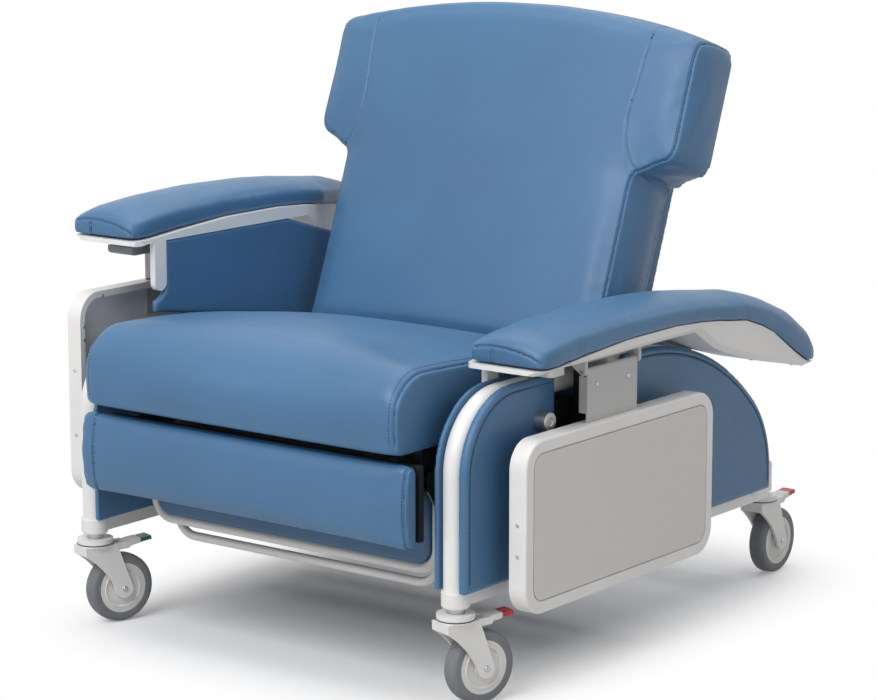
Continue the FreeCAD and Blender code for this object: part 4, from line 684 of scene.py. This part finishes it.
class RECLINER_OT_seat(Step, bpy.types.Operator):
    """Sew the seat cushion"""
    bl_idname = "recliner.seat"
    bl_label = "Seat cushion"

    SWELL = 0.008
    HEM = 0.006
    ENDS_FROM, ENDS_TO = 0.050, 0.014
    SEAM, STITCHES = 0.005, 0.014
    SHOWN_FROM, HIDDEN_REAR = 0.012, 0.05

    def execute(self, context):
        sewing = context.scene.recliner.sewing
        low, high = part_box("seat_cushion")

        def sewn(point):
            ends = ramp(abs(point.x), high.x - self.ENDS_FROM, high.x - self.ENDS_TO)
            return max(point.z < low.z + self.HEM, ends)

        def shown(point):
            return point.z > low.z + self.SHOWN_FROM and point.y < high.y - self.HIDDEN_REAR
        piece = relax(cover("seat_cushion", sewing.grid), 3)
        swell(piece, self.SWELL, sewn)
        relax(piece, 6, lambda point: sewn(point) > FIRM)
        seams = []
        rows = []
        for _, sign in SIDES:
            seams.append(Seam(piece, end_line(piece, sign * (high.x - self.SEAM), shown)))
            rows.append(Seam(piece, end_line(piece, sign * (high.x - self.STITCHES), shown)).points)
        sew(piece, seams, 0.9)
        dress(piece, "seat_cushion")
        topstitch("seat_stitches", rows, "seat_cushion")
        return {"FINISHED"}


def on_back(across, depth, up):
    """A point of the back, from its place across, behind its face and up its slope, in metres."""
    return Vector((across, BACK_FOOT.y + up * math.sin(BACK_LEAN) + depth * math.cos(BACK_LEAN),
                   BACK_FOOT.z + up * math.cos(BACK_LEAN) - depth * math.sin(BACK_LEAN)))


class RECLINER_OT_back(Step, bpy.types.Operator):
    """Sew the winged back cushion"""
    bl_idname = "recliner.back"
    bl_label = "Back cushion"

    SWELL = 0.006
    CROWN = 0.015
    WING = 0.432
    BOARD = 0.117
    SOFT_X = 0.360
    SOFT_FOOT = 0.330
    SOFT_ROUNDS = 16
    BAND_IN = 0.004

    def face(self, across):
        """How far the bulging face lies behind the back's plane."""
        return -self.CROWN * (1 - (across / self.WING) ** 2)

    def band_guide(self, sign):
        """The seam between the face and the side band, which turns rearwards over the wing's top corner."""
        rim = ((0.331, 0.030), (0.331, 0.150), (0.331, 0.270), (0.331, 0.318), (0.3365, 0.3395),
               (0.352, 0.3465), (0.372, 0.358), (0.396, 0.371), (0.4065, 0.395), (0.408, 0.430),
               (0.408, 0.500), (0.408, 0.555))
        guide = [on_back(sign * x, self.face(x) + self.BAND_IN, s) for x, s in rim]
        over = ((0.4065, 0.008, 0.578), (0.403, 0.022, 0.591), (0.406, 0.060, 0.602), (0.404, 0.112, 0.606))
        return smooth_line(guide + [on_back(sign * x, n, s) for x, n, s in over])

    def wing_guide(self, sign):
        """The seam between the middle panel and a wing."""
        top = ((0.318, 0.112, 0.632), (0.317, 0.060, 0.628), (0.316, 0.010, 0.616))
        front = ((0.314, 0.590), (0.309, 0.530), (0.303, 0.470), (0.302, 0.430), (0.308, 0.392),
                 (0.322, 0.362), (0.337, 0.344))
        return smooth_line([on_back(sign * x, n, s) for x, n, s in top]
                           + [on_back(sign * x, self.face(x), s) for x, s in front])

    def notch_guide(self, sign):
        """The seam that joins the wing's band to the body's, in the corner under the wing."""
        return smooth_line([on_back(sign * 0.342, n, 0.336) for n in (0.004, 0.05, 0.112)])

    def execute(self, context):
        sewing = context.scene.recliner.sewing
        inwards = on_back(0, 1, 0) - BACK_FOOT
        upwards = on_back(0, 0, 1) - BACK_FOOT

        def nailed(point):
            return (point - BACK_FOOT).dot(inwards) > self.BOARD

        def boxed(point):
            return abs(point.x) < self.SOFT_X or (point - BACK_FOOT).dot(upwards) < self.SOFT_FOOT
        piece = relax(cover("back_cushion", sewing.grid), 4)
        relax(piece, self.SOFT_ROUNDS, boxed)
        swell(piece, self.SWELL, nailed)
        relax(piece, 8, nailed)
        bands, wings, notches = [[Seam(piece, guide(sign)) for _, sign in SIDES]
                                 for guide in (self.band_guide, self.wing_guide, self.notch_guide)]
        rows = [seam.beside(-sign * sewing.beside) for seam, (_, sign) in zip(bands, SIDES)]
        sew(piece, bands, 0.9)
        sew(piece, wings + notches, 0.6)
        dress(piece, "back_cushion")
        topstitch("back_stitches", rows, "back_cushion")
        dress(relax(cover("back_cover", sewing.fine_grid), 3), "back_cover")
        return {"FINISHED"}


class RECLINER_OT_legrest(Step, bpy.types.Operator):
    """Sew the leg rest pad and the foot panel"""
    bl_idname = "recliner.legrest"
    bl_label = "Leg rest"

    SWELL = 0.004
    HEM = 0.012
    ENDS_FROM, ENDS_TO = 0.040, 0.012
    RIGHT_SEAM, LEFT_SEAM = -0.333, 0.006
    STITCHES = -0.003
    HIDDEN_REAR = 0.008

    def execute(self, context):
        sewing = context.scene.recliner.sewing
        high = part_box("legrest_pad")[1]

        def sewn(point):
            ends = ramp(abs(point.x), high.x - self.ENDS_FROM, high.x - self.ENDS_TO)
            return max(point.y > high.y - self.HEM, ends)

        def shown(point):
            return point.y < high.y - self.HIDDEN_REAR
        piece = relax(cover("legrest_pad", sewing.pad_grid), 2)
        swell(piece, self.SWELL, sewn)
        relax(piece, 2, lambda point: sewn(point) > FIRM)
        seams = [Seam(piece, end_line(piece, across, shown))
                 for across in (self.RIGHT_SEAM, high.x - self.LEFT_SEAM)]
        sew(piece, seams, 0.9)
        topstitch("legrest_stitches", [seam.beside(self.STITCHES) for seam in seams], "legrest_pad")
        dress(piece, "legrest_pad")
        dress(relax(cover("foot_panel", sewing.fine_grid), 2), "foot_panel")
        return {"FINISHED"}


class RECLINER_OT_arms(Step, bpy.types.Operator):
    """Sew the arm pads and the arms' inner panels"""
    bl_idname = "recliner.arms"
    bl_label = "Arms"

    SWELL = 0.004
    OVERHANG = 1.095
    FRONT_DEPTH, FRONT_HEIGHT = 0.016, 0.075
    FRONT_SEAM = 0.34
    SEAM_TOP = 0.6
    OVER_TOP, OVER_FALL = 0.68, 0.6
    EDGE = (0.04, 0.2, 0.4, 0.6, 0.8, 0.9, 0.96)
    EDGE_OUT = 0.004
    STITCHES = -0.003

    def front_lines(self, piece, low, high, start, width):
        """The upright seam on a pad's front and the seam over it, which falls towards the sitter's left."""
        front = slice_line(piece, start + self.FRONT_SEAM * width,
                           lambda point: point.y < low.y + self.FRONT_DEPTH
                           and point.z > high.z - self.FRONT_HEIGHT)
        foot = min(point.z for point in front)
        rise = max(point.z for point in front) - foot
        upright = [point for point in front if point.z < foot + rise * self.SEAM_TOP]
        over = [(start + width * share, low.y - self.EDGE_OUT,
                 foot + rise * (self.OVER_TOP - self.OVER_FALL * share ** 4)) for share in self.EDGE]
        return upright, smooth_line([Vector(point) for point in over])

    def execute(self, context):
        sewing = context.scene.recliner.sewing
        for side, sign in SIDES:
            node = side + "_arm_pad"
            low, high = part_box(node)
            outer = high.x if sign > 0 else low.x
            width = (high.x - low.x) * self.OVERHANG
            piece = cover(node, sewing.pad_grid)
            for vertex in piece.data.vertices:
                vertex.co.x = outer + (vertex.co.x - outer) * self.OVERHANG
            relax(piece, 3)
            swell(piece, self.SWELL, lambda point: 0)
            relax(piece, 2)
            start = min(outer, outer - sign * width)
            seams = [Seam(piece, line) for line in self.front_lines(piece, low, high, start, width)]
            sew(piece, seams, 0.7)
            topstitch(side + "_arm_stitches", [seam.beside(self.STITCHES) for seam in seams], node)
            dress(piece, node)
            panel = side + "_arm_inner_panel"
            dress(relax(cover(panel, sewing.fine_grid), 2), panel)
        return {"FINISHED"}


class RECLINER_OT_sides(Step, bpy.types.Operator):
    """Cover the side panels and topstitch their arched edges"""
    bl_idname = "recliner.sides"
    bl_label = "Side panels"

    SEAM_LAP = 0.010
    FOOT, KNEE = 0.216, 0.300
    ON_FACE = 0.004
    GUIDE_ROOM = 0.01

    def arch(self, lap, face):
        """The arched edge of a panel, lap outside the tube's axis, from the front foot to the rear one."""
        bend, bend_z = 0.115, 0.395
        crest, crest_y = 0.512, 0.500
        rear, rear_leg = 0.179, 0.913
        crest_z = bend_z + bend - crest
        rear_y = rear_leg - rear
        rear_z = crest_z + math.sqrt((crest - rear) ** 2 - (rear_y - crest_y) ** 2)
        meet = math.atan2(rear_y - crest_y, rear_z - crest_z)

        def arc(y, z, radius, first, last, steps):
            """Points on a bend, by the angle from straight up."""
            reach = radius + lap
            angles = [first + (last - first) * step / steps for step in range(steps + 1)]
            return [(y + reach * math.sin(turn), z + reach * math.cos(turn)) for turn in angles]
        line = [(-lap, self.FOOT), (-lap, self.KNEE)]
        line += arc(bend, bend_z, bend, -math.pi / 2, 0, 10)
        line += arc(crest_y, crest_z, crest, 0, meet, 12)
        line += arc(rear_y, rear_z, rear, meet, math.pi / 2, 12)[1:]
        line.append((rear_leg + lap, self.FOOT))
        return [Vector((face, y + FRONT_STEMS, z)) for y, z in line]

    def execute(self, context):
        sewing = context.scene.recliner.sewing
        for side, sign in SIDES:
            node = side + "_side_panel"
            low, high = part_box(node)
            face = high.x if sign > 0 else low.x
            piece = relax(cover(node, sewing.fine_grid), 3)
            seam = Seam(piece, self.arch(self.SEAM_LAP, face))
            sew(piece, [seam], 0.6)
            guide_low, guide_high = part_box(side + "_arm_guide")
            flat = [(spot, normal) for spot, normal in seam.points if abs(spot.x - face) < self.ON_FACE]
            runs = ([mark for mark in flat if mark[0].y < guide_low.y - self.GUIDE_ROOM],
                    [mark for mark in flat if mark[0].y > guide_high.y + self.GUIDE_ROOM])
            topstitch(side + "_panel_stitches", [run for run in runs if len(run) > 3], node)
            dress(piece, node)
            liner = side + "_inner_panel"
            dress(relax(cover(liner, sewing.fine_grid), 1), liner)
        return {"FINISHED"}


def screw(work, spot, facing, radius, proud):
    """A pan-head screw with a cross recess, standing proud of a face."""
    turn = facing.to_track_quat("Z", "Y").to_matrix().to_4x4()
    angles = turns(20)

    def corner(reach, angle, height):
        place = Vector((radius * reach * math.cos(angle), radius * reach * math.sin(angle), proud * height))
        return work.verts.new(turn @ place + spot)
    head = ((1, 0), (1, 0.35), (0.86, 0.75), (0.55, 1), (0.30, 1))
    rings = [[corner(reach, angle, height) for angle in angles] for reach, height in head]
    rings.append([corner(0.30 if index % 5 in (0, 1) else 0.16, angle, 0.3)
                  for index, angle in enumerate(angles)])
    bridge(work, rings)
    work.faces.new(rings[-1])
    work.faces.new(rings[0][::-1])


def plate(work, corners, low, high):
    """A flat plate between two planes X = low and X = high, from its outline in (y, z)."""
    near, far = [[work.verts.new((x, y, z)) for y, z in corners] for x in (low, high)]
    work.faces.new(near)
    work.faces.new(far[::-1])
    bridge(work, [far, near])


def rounded(work, radius, segments):
    """Rounds all the edges gathered so far."""
    bmesh.ops.bevel(work, geom=work.edges[:], offset=radius, segments=segments, affect="EDGES", profile=0.5)


def hoop(work, middle, reach, girth, around=72, corners=10):
    """A ring of round section about an axis along X."""
    rings = []
    for turn in turns(around):
        rings.append([])
        for roll in turns(corners):
            out = reach + girth * math.cos(roll)
            aside = Vector((girth * math.sin(roll), out * math.cos(turn), out * math.sin(turn)))
            rings[-1].append(work.verts.new(middle + aside))
    bridge(work, rings + rings[:1])


def finished(name, work, finish, node, place=None, smooth=True):
    """Turns the gathered faces into a piece that moves with the body of a CAD node."""
    bmesh.ops.recalc_face_normals(work, faces=work.faces)
    if place:
        work.transform(place)
    settle(piece_from(name, work, FINISHES[finish]), finish, node, smooth)


class RECLINER_OT_casters(Step, bpy.types.Operator):
    """Add the casters' axle bolts, hub rings, swivel seals and pedal sleeves"""
    bl_idname = "recliner.casters"
    bl_label = "Casters"

    AXLE = Vector((0.0, 0.047, 0.0635))
    FORK_FACE, HUB_FACE = 0.024, 0.015
    BOLT = (0.0052, 0.0028)
    HUB_RING = (0.0355, 0.0013)
    SEAL_Z = 0.1525
    SEAL_RING = (0.0325, 0.0010)
    SLEEVE = ((0.066, 0.1396), (0.086, 0.1420), (0.0868, 0.1472), (0.086, 0.1522), (0.066, 0.1504))
    SLEEVE_X = (-0.0138, 0.0138)
    SLEEVE_EDGE = 0.0012
    ROOT = ((0.0544, 0.1394), (0.0580, 0.1378), (0.0690, 0.1400), (0.0690, 0.1505), (0.0620, 0.1496),
            (0.0580, 0.1481), (0.0544, 0.1466))
    ROOT_X = (-0.01312, 0.01312)
    ROOT_FRONT = 0.0529
    PIN = (0.058, 0.143)
    BORE = 0.0028
    SLIT = 0.0002
    PIECES = (("axle_bolts", "zinc", "fork"), ("hub_rings", "white_plastic", "hub"),
              ("swivel_seal", "black_plastic", "fork"), ("pedal_sleeve", "white_plastic", "pedal"))

    def root(self):
        """The outline of a sleeve's root: a clip round the pedal's pin, slit towards the stem."""
        y, z = self.PIN
        start = math.pi - math.asin(self.SLIT / self.BORE)
        angles = [start * (1 - index / 12) for index in range(25)]
        bore = [(y + self.BORE * math.cos(turn), z + self.BORE * math.sin(turn)) for turn in angles]
        return [*self.ROOT, (self.ROOT_FRONT, z + self.SLIT), *bore, (self.ROOT_FRONT, z - self.SLIT)]

    def execute(self, context):
        for name, x, y, swivel in CASTERS:
            place = Matrix.Translation((x, y + FRONT_STEMS, 0))
            place @= Matrix.Rotation(math.radians(swivel), 4, "Z")
            works = [bmesh.new() for _ in self.PIECES]
            bolts, rings, seal, sleeve = works
            for _, sign in SIDES:
                out = Vector((sign, 0, 0))
                screw(bolts, self.AXLE + out * self.FORK_FACE, out, *self.BOLT)
                hoop(rings, self.AXLE + out * self.HUB_FACE, *self.HUB_RING)
            hoop(seal, Vector(), *self.SEAL_RING)
            seal.transform(Matrix.Translation((0, 0, self.SEAL_Z)) @ Matrix.Rotation(math.pi / 2, 4, "Y"))
            plate(sleeve, self.SLEEVE, *self.SLEEVE_X)
            rounded(sleeve, self.SLEEVE_EDGE, 2)
            plate(sleeve, self.root(), *self.ROOT_X)
            for (label, finish, part), work in zip(self.PIECES, works):
                finished(f"{name}_caster_{label}", work, finish, f"{name}_caster_{part}", place,
                         label != "pedal_sleeve")
        return {"FINISHED"}


class RECLINER_OT_linkage(Step, bpy.types.Operator):
    """Add the dark linkage plates beside the leg rest, with their bolts; with the thin bar across behind the
    leg rest they also fill the gap under the seat with painted shade
    """
    bl_idname = "recliner.linkage"
    bl_label = "Linkage plates"

    # The cheeks are partly the leg rest's dark linkage and partly painted shade, since they close the gap
    # under the seat; the thin bar across behind the leg rest is a dark sheet that is painted shade.
    CHEEK = ((-0.4996, 0.384), (-0.4996, 0.352), (-0.4760, 0.318), (-0.4400, 0.300), (-0.3900, 0.300),
             (-0.3300, 0.312), (-0.3000, 0.336), (-0.3000, 0.360), (-0.3300, 0.384))
    SHADE_BAR = ((-0.4396, 0.352), (-0.4396, 0.384), (-0.4356, 0.384), (-0.4356, 0.352))
    CHEEK_X = (0.334, 0.338)
    BOLTS = ((-0.469, 0.361), (-0.469, 0.341), (-0.340, 0.348))
    BOLT = (0.0060, 0.0050)

    def execute(self, context):
        plates, bolts = bmesh.new(), bmesh.new()
        inner, outer = self.CHEEK_X
        plate(plates, self.SHADE_BAR, -inner, inner)
        for _, sign in SIDES:
            plate(plates, self.CHEEK, *sorted((sign * inner, sign * outer)))
            for y, z in self.BOLTS:
                screw(bolts, Vector((sign * outer, y, z)), Vector((sign, 0, 0)), *self.BOLT)
        finished("linkage_plates", plates, "black_steel", "seat_frame", smooth=False)
        finished("linkage_bolts", bolts, "zinc", "seat_frame", smooth=False)
        return {"FINISHED"}


class RECLINER_OT_fasteners(Step, bpy.types.Operator):
    """Add the screws of the trays, brackets and arm shells, and the release lever's grip"""
    bl_idname = "recliner.fasteners"
    bl_label = "Fasteners"

    BRACKET_SCREW = (0.0045, 0.0022)
    BRACKET_IN, BRACKET_DOWN = 0.028, 0.030
    TRAY_SCREW = (0.0034, 0.0010)
    TRAY_FRONT = {"left": (0.35, 0.53), "right": (0.30, 0.62)}
    TRAY_INSIDE = ((0.010, 0.060), (0.010, 0.085), (0.060, 0.010))
    SHELL_SCREW = (0.0038, 0.0012)
    BELOW = 0.1
    UNDER_ARM = ((0.500, 0.250), (0.405, 0.330), (0.500, 0.392), (0.410, 0.420))
    GRIP = ((-0.4085, 0.6800), (-0.4085, 0.6690), (-0.4020, 0.6640), (-0.3560, 0.6640), (-0.3480, 0.6690),
            (-0.3440, 0.6800))
    GRIP_X = (-0.471, -0.409)
    GRIP_EDGE = 0.0025

    def row(self, name, node, spots, size):
        """Screws at places on a CAD piece, each with the way it faces."""
        work = bmesh.new()
        for spot, facing in spots:
            screw(work, Vector(spot), Vector(facing), *size)
        finished(name, work, "zinc", node)

    def under(self, node, spots):
        """Where lines from below first meet a CAD piece."""
        tree = BVHTree.FromObject(NODES[node], bpy.context.evaluated_depsgraph_get())
        met = [tree.ray_cast(Vector((x, y, self.BELOW)), Vector((0, 0, 1))) for x, y in spots]
        return [(spot, normal) for spot, normal, _, _ in met if spot]

    def execute(self, context):
        for side, sign in SIDES:
            bracket, tray, shell = side + "_tray_bracket", side + "_tray_frame", side + "_arm_shell"
            low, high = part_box(bracket)
            face = high.x if sign > 0 else low.x
            spots = [((face, y, high.z - self.BRACKET_DOWN), (sign, 0, 0))
                     for y in (low.y + self.BRACKET_IN, high.y - self.BRACKET_IN)]
            self.row(side + "_bracket_screws", bracket, spots, self.BRACKET_SCREW)
            low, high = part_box(tray)
            middle = (low.x + high.x) / 2
            inner = low.x if sign > 0 else high.x
            spots = [((middle, low.y, low.z + share * (high.z - low.z)), (0, -1, 0))
                     for share in self.TRAY_FRONT[side]]
            spots += [((inner, low.y + across, high.z - down), (-sign, 0, 0))
                      for across, down in self.TRAY_INSIDE]
            self.row(side + "_tray_screws", tray, spots, self.TRAY_SCREW)
            spots = self.under(shell, [(sign * x, y) for x, y in self.UNDER_ARM])
            self.row(side + "_shell_screws", shell, spots, self.SHELL_SCREW)
        work = bmesh.new()
        plate(work, self.GRIP, *self.GRIP_X)
        rounded(work, self.GRIP_EDGE, 3)
        finished("right_lever_grip", work, "lever_plastic", "right_arm_lever", smooth=False)
        return {"FINISHED"}


class RECLINER_OT_stage(Step, bpy.types.Operator):
    """Set up the floor, the light and the camera"""
    bl_idname = "recliner.stage"
    bl_label = "Studio"

    FLOOR_REACH = 30.0
    FLOOR_TONE = 0.62
    FOOTPRINT = (0.30, 0.46, 0.0)
    SHADOW_REACH = 0.32
    SENSOR = 36.0
    SIGHT = 200.0
    # Each lamp's name, place, size and aim.
    LAMPS = (("key", (0.1, -3.7, 3.3), (3.0, 2.4), (0, 0, 0.5)),
             ("overhead", (0.0, 0.3, 4.2), (4.0, 4.0), (0, 0, 0)),
             ("side", (3.4, -1.4, 1.6), (1.6, 2.0), (0.3, 0, 0.5)))

    def area(self, name, spot, size, aim, strength):
        lamp = bpy.data.lights.new(name, "AREA")
        lamp.shape = "RECTANGLE"
        lamp.size, lamp.size_y = size
        lamp.energy = strength
        holder = place_in_scene(name, lamp)
        holder.location = spot
        holder.rotation_euler = (Vector(aim) - Vector(spot)).to_track_quat("-Z", "Y").to_euler()

    def floor(self, studio):
        """A floor that takes the chair's shadow and fades into the white room away from it."""
        finish = Finish("studio_floor", {"Specular IOR Level": 0.0, "Emission Strength": 1.0})

        def vector(operation, *values, output="Vector"):
            sockets = dict(enumerate(values))
            return finish.node("ShaderNodeVectorMath", {"operation": operation}, sockets, output)
        seen = finish.straight()
        beyond = vector("SUBTRACT", vector("ABSOLUTE", finish.place), self.FOOTPRINT)
        reach = vector("LENGTH", vector("MAXIMUM", beyond, (0, 0, 0)), output="Value")
        far = finish.between(0.0, self.SHADOW_REACH, reach)
        near = self.FLOOR_TONE * (1 - far * seen)
        finish.feed("Base Color", finish.grey(near * (1 + seen * (studio.floor_gain - 1))))
        finish.feed("Roughness", 0.7 + 0.1 * finish.noise(40.0))
        finish.feed("Emission Color", finish.grey(far * seen))
        work = bmesh.new()
        for x, y in ((-1, -1), (1, -1), (1, 1), (-1, 1)):
            work.verts.new((x * self.FLOOR_REACH, y * self.FLOOR_REACH, 0))
        work.faces.new(work.verts)
        piece_from("studio_floor", work, finish.material)

    def world(self, studio):
        room = bpy.data.worlds.new("studio_room")
        room.use_nodes = True
        graph = Graph(room.node_tree)
        sky = graph.tree.nodes["Background"]
        graph.connect(sky.inputs["Color"], (1, 1, 1, 1))
        graph.connect(sky.inputs["Strength"], graph.straight() * (1 - studio.ambient) + studio.ambient)
        bpy.context.scene.world = room

    def camera(self, studio):
        turn, rise = studio.azimuth, studio.elevation
        back = Vector((math.sin(turn) * math.cos(rise), -math.cos(turn) * math.cos(rise), math.sin(rise)))
        lens = bpy.data.cameras.new("viewpoint")
        lens.sensor_fit = "HORIZONTAL"
        lens.sensor_width = self.SENSOR
        lens.lens = studio.lens
        lens.clip_end = self.SIGHT
        viewer = place_in_scene("viewpoint", lens)
        viewer.location = Vector(studio.target) + back * studio.distance
        viewer.rotation_euler = (-back).to_track_quat("-Z", "Y").to_euler()
        bpy.context.scene.camera = viewer

    def execute(self, context):
        studio = context.scene.recliner.studio
        self.floor(studio)
        self.world(studio)
        for name, spot, size, aim in self.LAMPS:
            self.area(name, spot, size, aim, getattr(studio, name))
        self.camera(studio)
        context.scene.view_settings.view_transform = "Standard"
        return {"FINISHED"}


STEPS = (RECLINER_OT_finishes, RECLINER_OT_seat, RECLINER_OT_back, RECLINER_OT_legrest, RECLINER_OT_arms,
         RECLINER_OT_sides, RECLINER_OT_casters, RECLINER_OT_linkage, RECLINER_OT_fasteners,
         RECLINER_OT_stage)


class RECLINER_PT_steps(bpy.types.Panel):
    """The chair's pieces, in the order in which they are made"""
    bl_idname = "RECLINER_PT_steps"
    bl_label = "Clinical recliner"
    bl_space_type = "VIEW_3D"
    bl_region_type = "UI"
    bl_category = "Recliner"

    def draw(self, context):
        for step in STEPS:
            self.layout.operator(step.bl_idname)


CLASSES = (RECLINER_PG_colours, RECLINER_PG_sewing, RECLINER_PG_studio, RECLINER_PG_chair, *STEPS,
           RECLINER_PT_steps)


def register():
    for kind in CLASSES:
        bpy.utils.register_class(kind)
    bpy.types.Scene.recliner = PointerProperty(type=RECLINER_PG_chair)


def unregister():
    del bpy.types.Scene.recliner
    for kind in reversed(CLASSES):
        bpy.utils.unregister_class(kind)


def main():
    """Makes the whole chair."""
    register()
    for step in STEPS:
        group, name = step.bl_idname.split(".")
        getattr(getattr(bpy.ops, group), name)()


if __name__ == "__main__":
    main()
